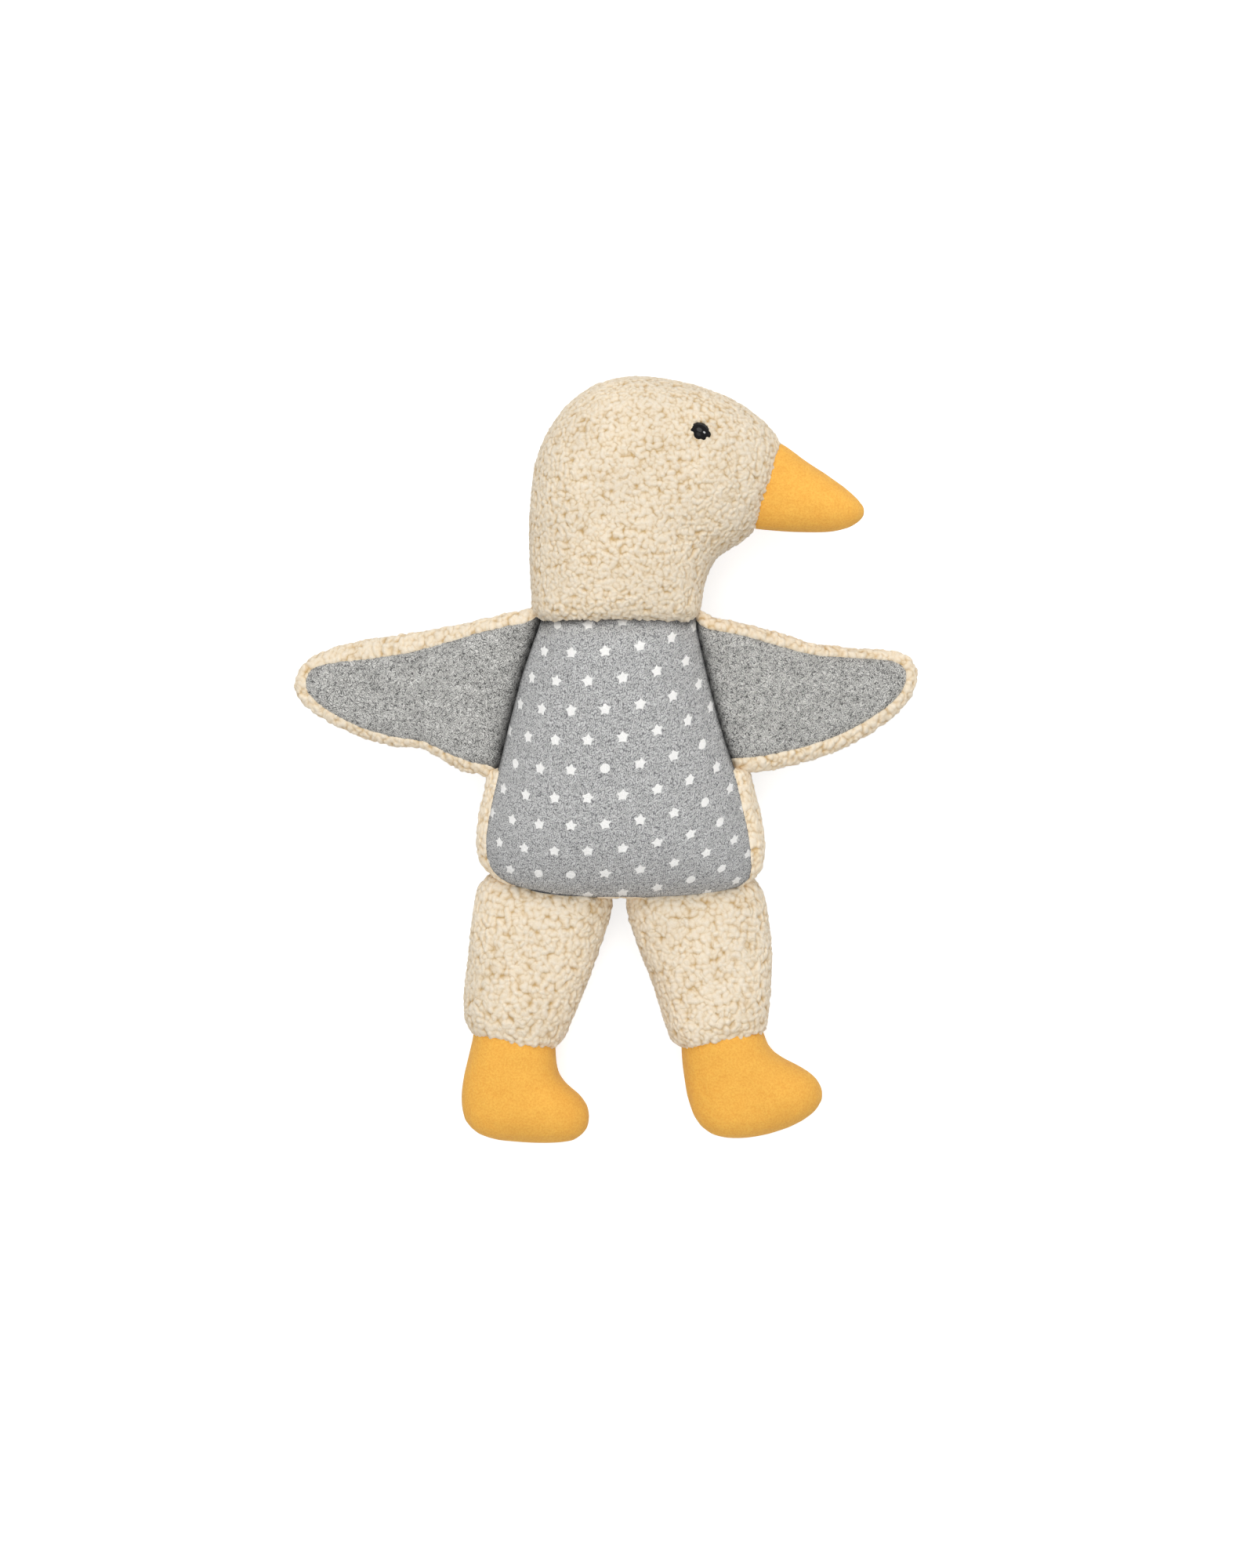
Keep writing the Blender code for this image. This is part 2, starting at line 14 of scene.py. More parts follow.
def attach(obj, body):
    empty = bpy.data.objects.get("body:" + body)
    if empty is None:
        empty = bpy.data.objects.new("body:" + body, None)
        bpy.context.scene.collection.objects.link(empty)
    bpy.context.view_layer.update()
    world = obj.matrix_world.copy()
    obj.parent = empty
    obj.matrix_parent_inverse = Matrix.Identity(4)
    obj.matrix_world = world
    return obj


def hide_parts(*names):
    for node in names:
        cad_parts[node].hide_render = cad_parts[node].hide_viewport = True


bl_info = {
    "name": "Duck Rag Doll",
    "version": (1, 0, 0),
    "blender": (4, 5, 0),
    "location": "3D View > Sidebar > Duck Doll",
    "description": "Sews a stuffed duck of curly cloth, felt and printed jersey, laid on its back",
    "category": "Add Mesh",
}

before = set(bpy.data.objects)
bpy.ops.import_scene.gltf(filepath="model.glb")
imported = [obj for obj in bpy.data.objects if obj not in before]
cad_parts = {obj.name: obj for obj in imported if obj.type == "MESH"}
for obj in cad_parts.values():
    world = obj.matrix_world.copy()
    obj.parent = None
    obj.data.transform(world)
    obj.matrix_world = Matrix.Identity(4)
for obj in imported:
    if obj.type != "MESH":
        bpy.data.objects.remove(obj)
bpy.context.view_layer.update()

MM = 0.001

# Pattern outlines in millimetres, seen from the front, as closed loops. Where a part is sewn to the
# next one its outline runs on past the seam.
HEAD_OUTLINE = (
    (-39.5, 50), (-40.6, 66), (-41.5, 84), (-42, 104), (-41, 122), (-37.5, 140), (-27, 158.5),
    (-12, 170.1), (6.4, 174.3), (29, 171.4), (50, 164.5), (65, 154.5), (73.5, 144.5), (77, 130),
    (72.5, 114), (63.2, 104.2), (55.6, 97.4), (46.6, 92.6), (41.5, 86), (38.6, 76), (37.4, 64),
    (36.5, 50), (20, 40), (-2, 37), (-24, 40),
)
BEAK_OUTLINE = (
    (60, 147), (73.2, 143.6), (84, 135.8), (95, 128.6), (105, 121.2), (111, 115), (112, 110.5),
    (107.5, 106.2), (98, 103.2), (84, 102.9), (70.5, 103.6), (58, 105.5), (48, 114), (48, 134),
)
# The body's widest line, and the seam of the printed front, point for point
BODY_OUTLINE = (
    (-37, 84), (-39, 64), (-47.2, 37.8), (-54.4, 12.6), (-60.1, -9), (-64.6, -30), (-65, -42),
    (-61.6, -52.4), (-49.8, -59.2), (-30, -63.4), (0, -64.4), (32, -63.8), (50.4, -61.4),
    (63, -54.6), (67.2, -42), (65, -28), (60.4, -9), (53.6, 12.6), (44.6, 37.8), (36.8, 64),
    (34, 84), (0, 98),
)
FRONT_SEAM_OUTLINE = (
    (-33, 82), (-36.6, 62), (-44.6, 38), (-50.8, 14), (-55.6, -7), (-60.2, -29), (-61.4, -42),
    (-58, -52.6), (-48, -59), (-30, -63.4), (0, -64.2), (30, -63.8), (48.6, -61.4), (59, -55.6),
    (60, -43), (57.6, -29), (52.6, -8), (46.6, 10.4), (40.4, 34), (34.6, 60), (31, 82), (0, 94),
)
LEG_OUTLINES = {
    "right": (
        (-60, -54), (-65.5, -62), (-68.2, -79), (-70, -98), (-71.5, -113), (-69, -127), (-65, -142),
        (-56, -151), (-43, -153), (-33, -148), (-29, -137), (-24, -125), (-18.6, -112),
        (-12.2, -96), (-7.2, -81), (-3.4, -67), (-8, -56), (-34, -50),
    ),
    "left": (
        (8, -56), (2.6, -67), (7.8, -85), (13.7, -100), (18.4, -114), (22, -126), (29, -139),
        (40, -149), (52, -150), (62, -143), (66, -130), (67.8, -118), (69.2, -102), (69.2, -86),
        (67.6, -72), (65, -61), (59, -54), (34, -50),
    ),
}
FOOT_OUTLINES = {
    "right": (
        (-64, -114), (-66.6, -128), (-69.3, -139), (-71.4, -148), (-72.3, -158), (-69.8, -167.5),
        (-61.5, -173.6), (-48, -175.8), (-32, -176.4), (-21, -175), (-15.4, -170), (-14.4, -163),
        (-18, -156), (-25.4, -150), (-29.2, -143.5), (-30, -135), (-31, -124), (-36, -114),
        (-50, -110),
    ),
    "left": (
        (30, -118), (28.6, -134), (29.8, -147), (32, -158.5), (36.5, -168), (44.5, -173.3),
        (56, -174.2), (68, -172.2), (80, -168), (89, -162), (92.4, -155.5), (90.5, -148.5),
        (83.5, -143), (74.5, -138.5), (68, -133.5), (64.4, -124), (60, -115), (45, -110),
    ),
}
WING_OUTLINES = {
    "right": (
        (-30, 66.6), (-43.2, 66.4), (-61.6, 62.9), (-77, 59.4), (-96, 56.2), (-116.3, 53.1),
        (-133, 48.6), (-144.4, 42.5), (-148.7, 34), (-146.6, 26.5), (-135.7, 17.6), (-119, 9.4),
        (-105, 5.2), (-91.8, 4.2), (-84, 0.6), (-75, -5), (-65.2, -7.6), (-46, -5.6),
    ),
    "left": (
        (28, 65), (41, 63.6), (56, 60.4), (71.6, 56.9), (87.1, 51.8), (101, 49.8), (118, 48.6),
        (129.5, 46.4), (134.8, 41), (135, 33.5), (130.8, 25), (121.5, 15.6), (107, 6.4), (91, -0.4),
        (74, -4.8), (58, -7.2), (44, -6), (30, -4),
    ),
}
WING_PANEL_OUTLINES = {
    "right": (
        (-30, 62), (-43.4, 61), (-61.6, 57), (-77, 52.7), (-96, 47.4), (-116.3, 44.3),
        (-130, 42.8), (-140, 40.2), (-143.6, 34.2), (-141.4, 28), (-131.6, 20.2), (-117, 13.2),
        (-103, 9.2), (-90, 7.4), (-80, 2.6), (-71, -1.2), (-62, -3.2), (-46, -1),
    ),
    "left": (
        (28, 60), (41, 58.4), (56, 55.8), (70, 51.8), (87, 47.2), (101, 45.8), (118, 44.8),
        (126, 43.6), (131, 39.6), (131, 33.5), (126.8, 26.4), (117.6, 19), (104, 11.2), (89, 5.4),
        (73, 1.4), (58, -0.8), (44, 0), (30, 1),
    ),
}

# Each stuffed form, in millimetres: its crown line seen from the front, the height of its edge seam
# above the floor, how far it swells in front of that seam and falls behind it if not to the floor,
# and the powers of the curve from edge to crown. Then how its cloth is filled: how far the form
# starts inside it, the width of the weave, how far it gives across and up, how often its mesh is
# refined, and the depth and width of the groove along its edge seam.
HEAD = {
    "crown": ((2, 118), (14, 134)), "seam": 33, "swell": 33, "fall": 31.6, "powers": (2.2, 2.2),
    "inset": 0.8, "weave": 5.45, "give": (0.5, 3.0), "levels": 3, "groove": (0.9, 1.3),
}
BEAK = {
    "crown": ((62, 126), (84, 117)), "seam": 33, "swell": 15.0, "fall": 15.0, "powers": (1.9, 2.1),
    "inset": -0.3, "weave": 3.0, "give": (0.3, 1.6), "levels": 2, "groove": (0.6, 0.8),
}
BODY = {
    "crown": ((0, 4), (0, -22)), "seam": 26, "swell": 36, "powers": (2.2, 2.2),
    "inset": 0.3, "weave": 6.3, "give": (0.5, 2.5), "levels": 3,
}
WING = {"inset": -0.2, "weave": 2.8, "give": (0.3, 1.2), "levels": 2}
LEG = {
    "seam": 20, "swell": 21, "powers": (2.1, 2.2),
    "inset": 0.3, "weave": 5.0, "give": (0.5, 2.5), "levels": 3, "groove": (0.9, 1.3),
}
FOOT = {
    "seam": 18, "swell": 18.5, "powers": (2.2, 2.2),
    "inset": -0.6, "weave": 3.1, "give": (0.4, 2.0), "levels": 2, "groove": (0.7, 0.9),
}
WING_CROWNS = {"right": ((-30, 31), (-126, 31)), "left": ((30, 30), (114, 29))}
LEG_CROWNS = {"right": ((-37, -78), (-46, -114)), "left": ((36, -78), (45, -114))}
FOOT_CROWNS = {"right": ((-49, -128), (-44, -158)), "left": ((48, -130), (60, -157))}

# How many steps a flat panel's outline has in each span, how far out towards its edge each loop of
# a form lies, and how much sooner its back goes flat
PANEL_STEPS = 8
SHARES = (1, 0.985, 0.955, 0.91, 0.85, 0.77, 0.66, 0.52, 0.34, 0.12)
BACK_FLATTENS = 1.05

# The seam of the printed front: how far it lies out on the curve of the belly, how high, and how
# far inside its drawn line
FRONT_SEAM_SHARE = 0.92
FRONT_SEAM_HEIGHT = 41.5
FRONT_SEAM_INSET = 0.6

# The jersey towards the neck: where it grows smooth, where it goes on level and where it ends under
# the head; and the least height of its sides
JERSEY_SMOOTH_FROM = 54.0
JERSEY_LEVEL_FROM = 60.5
JERSEY_TOP = 64.5
JERSEY_SEAM = 41.0

# Seams between the parts, as two points seen from the front
NECK_SEAM = ((-40, 62), (40, 62))
BODY_TOP = ((-40, 61.5), (40, 61.5))
BEAK_SEAM = ((73.4, 144.5), (60.4, 104.6))
BEAK_ROOT = ((69.4, 145.5), (56.4, 105.6))
ANKLE_SEAMS = {
    "right": ((-67.3, -128), (-29.2, -133.9)),
    "left": ((27.5, -133.8), (66, -126.5)),
}

# The nodes of each leg and foot, and where the painted shade along the seam of the sole starts to
# show
LIMB_PIECES = ("front_panel", "back_panel", "stuffing")
SOLE_FROM = -166.0

# How far the body is let in under the jersey and the wings, and how far it bulges round the jersey
JERSEY_BED = 1.8
WING_BED = 7.0
RIM_BULGE = 0.9

# How far a wing is let in under its fleece, how far wing and fleece dip towards the body and how
# far out that goes, and how thick the two flat cloths are
FLEECE_BED = 1.6
WING_DIP = 5.4
FLEECE_DIP = 4.6
DIP_REACH = 2.2
JERSEY_THICKNESS = 0.7
FLEECE_THICKNESS = 0.9

# Where a wing starts to bend down and where it lies on the floor, how high its middle is at the
# body, half its thickness, and how far outside its drawn line the fleece reaches
WING_ROOT = 44.0
WING_REST = 132.0
WING_ROOT_HEIGHT = 34.0
WING_HALF = 5.4
WING_PANEL_OUTSET = 0.5

# The loops of a wing from the front round its edge to the back: how far out towards the edge, or
# how far inside it, each one lies, and its height from the wing's middle
WING_FRONT_LOOPS = ((0.1, 4.6), (0.4, 4.6), (0.72, 4.6))
WING_EDGE_LOOPS = ((3.2, 4.3), (1.2, 3.4), (0, 0), (1.2, -3.4), (4, -4.8))
WING_BACK_LOOPS = ((0.6, -5.0), (0.1, -5.0))

# The eye, the dimple that it lies in and the ring of ragged curls round it
EYE_PLACE = (36.2, 145.6)
EYE_SHAPE = (1.0, 0.86, 0.74)
EYE_SUNK = 0.9
DIMPLE_DEPTH, DIMPLE_WIDTH = 1.5, 6.5
EYE_CURLS_RADIUS, EYE_CURLS_WIDTH = 4.8, 1.2

# The lowest that cloth and beads may lie
FLOOR_GAP = 0.12
BEAD_FLOOR_GAP = 0.2

# Where the print puts its stars: a net of columns and rows wrapped over the belly
PRINT_MIDDLE = (-1.5, 14.8)
PRINT_COLUMN_SHIFT = 0.33
PRINT_ROW_SHIFT = 2.5
PRINT_ROLL = 100.0
PRINT_WRAP = 1.1
PRINT_BOW = 0.76
PRINT_SLANT = 1.52

# How far out a star's notches and the edge of a dot lie, beside a star's tips
STAR_NOTCH = 0.63
DOT_SIZE = 0.78

# The outlines are drawn as the camera sees them in a plane this high above the floor
CAMERA = (0.0032, -0.0126, 1.63)
DRAWN_HEIGHT = 30.0

# How high the curls are on each piece, beside what is set in the panel, and how bright each piece's
# copy of the cream cloth is, which is painted light and shade
CURLS = {"head": (1.0, 0.93), "wing": (1.3, 1.0), "leg": (1.15, 0.97), "body": (1.1, 1.08)}

# The filled cloth of head and body, which later pieces are laid on
surfaces = {}


# Sizes, colours and stage settings


def distance(name, description, default, low, high):
    return FloatProperty(
        name=name, description=description, default=default, min=low, max=high, subtype="DISTANCE"
    )


def colour(name, description, default):
    return FloatVectorProperty(
        name=name, description=description, default=default, size=3, min=0, max=1, subtype="COLOR"
    )


class DuckDollSizes(PropertyGroup):
    head_curl: distance("Head curl", "Width of one curl of the head's pile", 0.0019, 0.001, 0.01)
    leg_curl: distance("Leg curl", "Width of one curl on legs and body", 0.0023, 0.001, 0.01)
    pile: distance("Pile", "Height of the curls above the cloth", 0.0013, 0.0, 0.005)
    pressure: FloatProperty(
        name="Stuffing pressure", description="How hard the stuffing presses on the cloth",
        default=4.0, min=0.0, max=20.0,
    )
    star: distance("Star", "From a star's middle to its tips", 0.0028, 0.001, 0.006)
    column: distance("Star columns", "Distance between columns of stars", 0.01605, 0.005, 0.05)
    row: distance("Star rows", "Distance between rows of stars", 0.0136, 0.005, 0.05)
    eye: distance("Eye", "Half the width of a bead eye", 0.0054, 0.002, 0.008)


class DuckDollColours(PropertyGroup):
    crest: colour("Curls", "Cream of the curls", (0.91, 0.765, 0.565))
    # The crease colour is painted shade: the creases between the curls are darkened in the colour
    # itself
    crease: colour("Creases", "Warm shade between the curls", (0.63, 0.42, 0.185))
    felt: colour("Felt", "Orange of beak and feet", (1.0, 0.555, 0.10))
    felt_shade: colour("Felt fibres", "Darker fibres in the orange", (0.86, 0.37, 0.055))
    fleece: colour("Wing fleece", "Light grey of the wings", (0.70, 0.69, 0.66))
    fleece_speck: colour("Wing specks", "Dark fibres in the wings", (0.14, 0.14, 0.135))
    jersey: colour("Jersey", "Light grey of the printed front", (0.60, 0.60, 0.595))
    jersey_shade: colour("Jersey shade", "Dark yarn in the printed front", (0.19, 0.19, 0.195))
    star: colour("Stars", "White of the printed stars", (0.97, 0.96, 0.94))
    bead: colour("Bead", "Black of the eyes", (0.004, 0.0035, 0.004))


class DuckDollStage(PropertyGroup):
    camera: FloatVectorProperty(
        name="Camera", description="Place of the camera above the doll", default=CAMERA,
        subtype="TRANSLATION",
    )
    key: FloatProperty(name="Key light", description="Power of the high lamp", default=8.0)
    fill: FloatProperty(name="Front light", description="Power of the lamp in front", default=5.0)
    catch: FloatProperty(name="Catch light", description="Power of the eyes' lamp", default=20.0)
    sky: FloatProperty(name="Sky", description="Strength of the light from all round", default=0.66)


def settings(context):
    return context.scene.duck_doll_sizes, context.scene.duck_doll_colours


# Outlines and forms


def smooth_outline(points, steps=4):
    """The pattern points joined by a smooth closed curve, with as many steps in each span."""
    count = len(points)
    drawn = []
    for index in range(count):
        before, start, end, after = (Vector(points[(index + k - 1) % count]) for k in range(4))
        first, second = start + (end - before) / 6, end - (after - start) / 6
        drawn += interpolate_bezier(start, first, second, end, steps + 1)[:-1]
    return drawn


def placed(points, height):
    """Where points of a drawn outline lie at another height, so that the camera sees them alike."""
    middle = Vector(CAMERA[:2]) / MM
    factor = (CAMERA[2] / MM - height) / (CAMERA[2] / MM - DRAWN_HEIGHT)
    return [middle + (Vector(point) - middle) * factor for point in points]


def seen(points):
    """The points as the camera sees them in the plane of the drawn outlines."""
    middle = np.array(CAMERA[:2]) / MM
    factor = (CAMERA[2] / MM - DRAWN_HEIGHT) / (CAMERA[2] / MM - points[:, 2:])
    return np.hstack([middle + (points[:, :2] - middle) * factor, points[:, 2:]])


def inset_outline(outline, depth):
    """The outline moved inwards by a depth, each point along its own normal."""
    turned = sum(a.cross(b) for a, b in zip(outline, outline[1:] + outline[:1]))
    side = math.copysign(1, turned)
    moved = []
    for index, point in enumerate(outline):
        along = (outline[(index + 1) % len(outline)] - outline[index - 1]).normalized()
        moved.append(point + Vector((-along.y, along.x)) * side * depth)
    return moved


def nearest(point, line):
    """The point of a line's length that lies nearest."""
    start, end = Vector(line[0]), Vector(line[1])
    along = end - start
    return start + along * max(0, min(1, (point - start).dot(along) / along.length_squared))


def ring(outline, crown, share, height):
    """The outline drawn in towards the crown, at a height: one loop of a swelling form."""
    drawn = []
    for point in outline:
        middle = nearest(point, crown)
        drawn.append(Vector((*(middle + (point - middle) * share), height)))
    return drawn


def swell_share(share, powers):
    return (1 - share ** powers[0]) ** (1 / powers[1])


def loft(loops, closed=True):
    """A skin through successive loops that fills the last one, and the first one too if closed."""
    bm = bmesh.new()
    verts = [bm.verts.new(p * MM) for p in loops[0]]
    edges = [bm.edges.new((verts[i - 1], verts[i])) for i in range(len(verts))]
    caps = [bm.faces.new(verts)] if closed else []
    for points in loops[1:]:
        grown = bmesh.ops.extrude_edge_only(bm, edges=edges)["geom"]
        fresh = {item for item in grown if isinstance(item, bmesh.types.BMVert)}
        edges = [e for e in grown if isinstance(e, bmesh.types.BMEdge) and set(e.verts) <= fresh]
        links = [[e.other_vert(v) for e in v.link_edges] for v in verts]
        verts = [next(other for other in near if other in fresh) for near in links]
        for vert, point in zip(verts, points):
            vert.co = point * MM
    caps.append(bm.faces.new(verts))
    bmesh.ops.triangulate(bm, faces=caps, ngon_method="BEAUTY")
    bmesh.ops.recalc_face_normals(bm, faces=bm.faces)
    return bm


def back_loops(outline, form, shares):
    """The loops behind an edge seam, falling to a flat back."""
    seam, fall = form["seam"], form.get("fall", form["seam"]) - form["inset"]
    depths = [min(fall, fall * BACK_FLATTENS * swell_share(s, form["powers"])) for s in shares]
    return [ring(outline, form["crown"], s, seam - depth) for s, depth in zip(shares, depths)]


def stuffed_form(outline, form):
    """A form that swells in front of its edge seam and falls behind it, inside its cloth."""
    crown, seam, powers, inset = (form[key] for key in ("crown", "seam", "powers", "inset"))
    drawn = inset_outline(placed(smooth_outline(outline), seam), inset)
    swell = form["swell"] - inset
    front = [ring(drawn, crown, s, seam + swell * swell_share(s, powers)) for s in SHARES]
    return loft(front[::-1] + back_loops(drawn, form, SHARES[1:]))


def body_form():
    """The body: its front rises from the seam of the print, and its back falls to the floor."""
    crown, seam, powers, inset = (BODY[key] for key in ("crown", "seam", "powers", "inset"))
    widest = inset_outline(placed(smooth_outline(BODY_OUTLINE), seam), inset)
    low = FRONT_SEAM_HEIGHT
    seam_line = placed(smooth_outline(FRONT_SEAM_OUTLINE), low)
    seam_line = inset_outline(seam_line, inset + FRONT_SEAM_INSET)
    start = swell_share(FRONT_SEAM_SHARE, powers)
    rise = seam + BODY["swell"] - low - inset
    front = []
    for s in SHARES:
        risen = rise * (swell_share(FRONT_SEAM_SHARE * s, powers) - start) / (1 - start)
        front.append(ring(seam_line, crown, s, low + risen))
    shoulder = [a * 0.3 + b * 0.7 for a, b in zip(seam_line, widest)]
    middle = ring(shoulder, crown, 1, seam + 0.62 * (low - seam))
    return loft(front[::-1] + [middle] + back_loops(widest, BODY, SHARES))


def cut_away(bm, place, out):
    """Cuts away what lies beyond a plane."""
    parts = bm.verts[:] + bm.edges[:] + bm.faces[:]
    bmesh.ops.bisect_plane(bm, geom=parts, plane_co=place, plane_no=out, clear_outer=True)


def cut_off(bm, seam, side):
    """Cuts away what lies beyond an upright seam plane and closes the cut."""
    start, end = Vector(seam[0]), Vector(seam[1])
    along = (end - start).normalized()
    cut_away(bm, (start.x * MM, start.y * MM, 0), (-along.y * side, along.x * side, 0))
    bmesh.ops.holes_fill(bm, edges=[e for e in bm.edges if e.is_boundary], sides=0)


# Meshes and cloth


def linked(name, data):
    obj = bpy.data.objects.new(name, data)
    bpy.context.scene.collection.objects.link(obj)
    return obj


def new_object(name, bm):
    mesh = bpy.data.meshes.new(name)
    bm.to_mesh(mesh)
    bm.free()
    return linked(name, mesh)


def modify(obj, name, kind, **values):
    """Adds a modifier and replaces the object's mesh by what it makes of it."""
    modifier = obj.modifiers.new(name, kind)
    for key, value in values.items():
        setattr(modifier, key, value)
    graph = bpy.context.evaluated_depsgraph_get()
    mesh = bpy.data.meshes.new_from_object(
        obj.evaluated_get(graph), preserve_all_data_layers=True, depsgraph=graph
    )
    mesh.name = obj.name
    obj.modifiers.clear()
    obj.data = mesh


def coords(obj, mesh=None):
    """The mesh's points in millimetres."""
    mesh = mesh or obj.data
    flat = np.empty(len(mesh.vertices) * 3, np.float32)
    mesh.vertices.foreach_get("co", flat)
    return flat.reshape(-1, 3).astype(float) / MM


def set_coords(obj, points):
    if not np.isfinite(points).all():
        raise RuntimeError(f"{obj.name} has points that are not numbers")
    obj.data.vertices.foreach_set("co", (points * MM).astype(np.float32).ravel())
    obj.data.update()


def normals(obj):
    flat = np.empty(len(obj.data.vertices) * 3, np.float32)
    obj.data.vertex_normals.foreach_get("vector", flat)
    return flat.reshape(-1, 3).astype(float)


def inflate(obj, across, up, frames=20):
    """Lets the stuffing press on the cloth, with soft limits in millimetres on how far it gives."""
    scene = bpy.context.scene
    rest = coords(obj)
    cloth = obj.modifiers.new("stuffing", "CLOTH")
    cloth.settings.use_pressure = True
    cloth.settings.uniform_pressure_force = scene.duck_doll_sizes.pressure
    cloth.settings.effector_weights.gravity = 0
    for number in range(1, frames + 1):
        scene.frame_set(number)
    graph = bpy.context.evaluated_depsgraph_get()
    moved = coords(obj, obj.evaluated_get(graph).data) - rest
    obj.modifiers.clear()
    scene.frame_set(1)
    for part, limit in ((slice(0, 2), across), (slice(2, 3), up)):
        length = np.linalg.norm(moved[:, part], axis=1, keepdims=True) + 1e-9
        moved[:, part] *= limit * (1 - np.exp(-length / limit)) / length
    set_coords(obj, rest + moved)


def depth_inside(points, outline):
    """How far inside the outline each point lies, seen from the front; negative outside."""
    corners = np.array([tuple(p) for p in outline])
    ends = np.roll(corners, -1, axis=0)
    best = np.full(len(points), 1e9)
    inside = np.zeros(len(points), bool)
    x, y = points[:, 0], points[:, 1]
    for (ax, ay), (bx, by) in zip(corners, ends):
        dx, dy = bx - ax, by - ay
        t = np.clip(((x - ax) * dx + (y - ay) * dy) / (dx * dx + dy * dy), 0, 1)
        best = np.minimum(best, np.hypot(x - ax - t * dx, y - ay - t * dy))
        if ay != by:
            inside ^= ((ay > y) != (by > y)) & (x < ax + (y - ay) * dx / dy)
    return np.where(inside, best, -best)


def bell(away, width):
    """A smooth hump: 1 in the middle, down to almost nothing at twice its width."""
    return np.exp(-((away / width) ** 2))


def pinch_seam(obj, height, depth, width):
    """A groove where the two panels are sewn, round the side of the form."""
    points, out = coords(obj), normals(obj)
    sideways = np.clip(1 - np.abs(out[:, 2]) * 1.6, 0, 1)
    groove = depth * sideways * bell(points[:, 2] - height, width)
    set_coords(obj, points - out * groove[:, None])


def stuffed(name, form, bm, *cuts):
    """A form, cut off at its seams, as cloth in an even weave that the simulation fills."""
    for seam, side in cuts:
        cut_off(bm, seam, side)
    obj = new_object(name, bm)
    modify(obj, "even_weave", "REMESH", mode="VOXEL", voxel_size=form["weave"] * MM)
    inflate(obj, *form["give"])
    levels = form["levels"]
    modify(obj, "smooth_cloth", "SUBSURF", levels=levels, render_levels=levels)
    if "groove" in form:
        pinch_seam(obj, form["seam"], *form["groove"])
    return obj


def store(obj, name, values):
    kind, field = ("FLOAT", "value") if values.ndim == 1 else ("FLOAT_VECTOR", "vector")
    attribute = obj.data.attributes.new(name, kind, "POINT")
    attribute.data.foreach_set(field, values.astype(np.float32).ravel())


def shaggy_rim(points, seams, reach=2.2):
    """Longer pile in uneven tufts along the seams, where the curls hang over the next part."""
    cover = np.ones(len(points))
    for start, end in seams:
        start, along = np.array(start), np.subtract(end, start)
        away = np.abs(np.cross(along / np.linalg.norm(along), points[:, :2] - start))
        for index in np.nonzero(away < reach * 2)[0]:
            tuft = noise_at(Vector(points[index]) * 0.45)
            cover[index] += math.exp(-((away[index] / reach) ** 2)) * max(0.0, 0.35 + 1.7 * tuft)
    return cover


def lay_on_floor(obj):
    """Presses flat against the floor whatever would sink into it."""
    points = coords(obj)
    points[:, 2] = np.maximum(points[:, 2], FLOOR_GAP)
    set_coords(obj, points)


def finish_piece(obj, material, nodes):
    obj.data.materials.clear()
    obj.data.materials.append(material)
    obj.data.shade_smooth()
    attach(obj, "root")
    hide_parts(*nodes)


def surface_of(obj):
    return BVHTree.FromObject(obj, bpy.context.evaluated_depsgraph_get())


def drop_on(surface, points, top, seam):
    """The height of the surface under each point, in millimetres. Past its top it goes on level,
    and past its edge it has the height of the nearest place, looked for from the seam's height."""
    heights = []
    for x, y in points[:, :2]:
        start = Vector((x * MM, min(y, top) * MM, 1))
        spot = surface.ray_cast(start, Vector((0, 0, -1)))[0]
        if spot is None:
            start.z = seam * MM
            spot = surface.find_nearest(start)[0]
        heights.append(spot.z / MM)
    return np.array(heights)


# Nodes shared by the cloth's form and its materials


def feed(tree, made, inputs):
    """Gives a node's inputs their values, or joins them to other nodes' outputs."""
    for key, value in inputs.items():
        if isinstance(value, bpy.types.NodeSocket):
            tree.links.new(value, made.inputs[key])
        else:
            made.inputs[key].default_value = value
    return made


def node(tree, kind, inputs=None, **values):
    made = tree.nodes.new(kind)
    for key, value in values.items():
        setattr(made, key, value)
    return feed(tree, made, inputs or {})


def joined(kind, inputs, **values):
    """A node in the tree that its inputs come from."""
    tree = next(item.id_data for item in inputs.values() if isinstance(item, bpy.types.NodeSocket))
    return node(tree, kind, inputs, **values)


def maths(operation, *values):
    return joined("ShaderNodeMath", dict(enumerate(values)), operation=operation).outputs[0]


def times(*values):
    return maths("MULTIPLY", *values)


def plus(*values):
    return maths("ADD", *values)


def vector_maths(operation, *values):
    inputs = dict(enumerate(values))
    return joined("ShaderNodeVectorMath", inputs, operation=operation).outputs[0]


def scaled(vector, factor):
    inputs = {0: vector, "Scale": factor}
    return joined("ShaderNodeVectorMath", inputs, operation="SCALE").outputs[0]


def ranged(value, low, high, out_low=0.0, out_high=1.0, kind="LINEAR"):
    inputs = {"Value": value, 1: low, 2: high, 3: out_low, 4: out_high}
    return joined("ShaderNodeMapRange", inputs, interpolation_type=kind).outputs[0]


def noise(place, wavelength, detail=2.0, roughness=0.5, output=0):
    inputs = {"Vector": place, "Scale": 1 / wavelength, "Detail": detail, "Roughness": roughness}
    return joined("ShaderNodeTexNoise", inputs).outputs[output]


def cells(place, size, feature):
    inputs = {"Vector": place, "Scale": 1 / size, "Randomness": 1.0}
    return joined("ShaderNodeTexVoronoi", inputs, feature=feature)


def bent_place(place, wavelength, reach):
    """The place pushed about by a soft noise, so that a regular pattern becomes a natural one."""
    drift = noise(place, wavelength, 1.0, 0.5, 1)
    drift = vector_maths("SUBTRACT", drift, (0.5, 0.5, 0.5))
    return vector_maths("ADD", place, scaled(drift, reach))


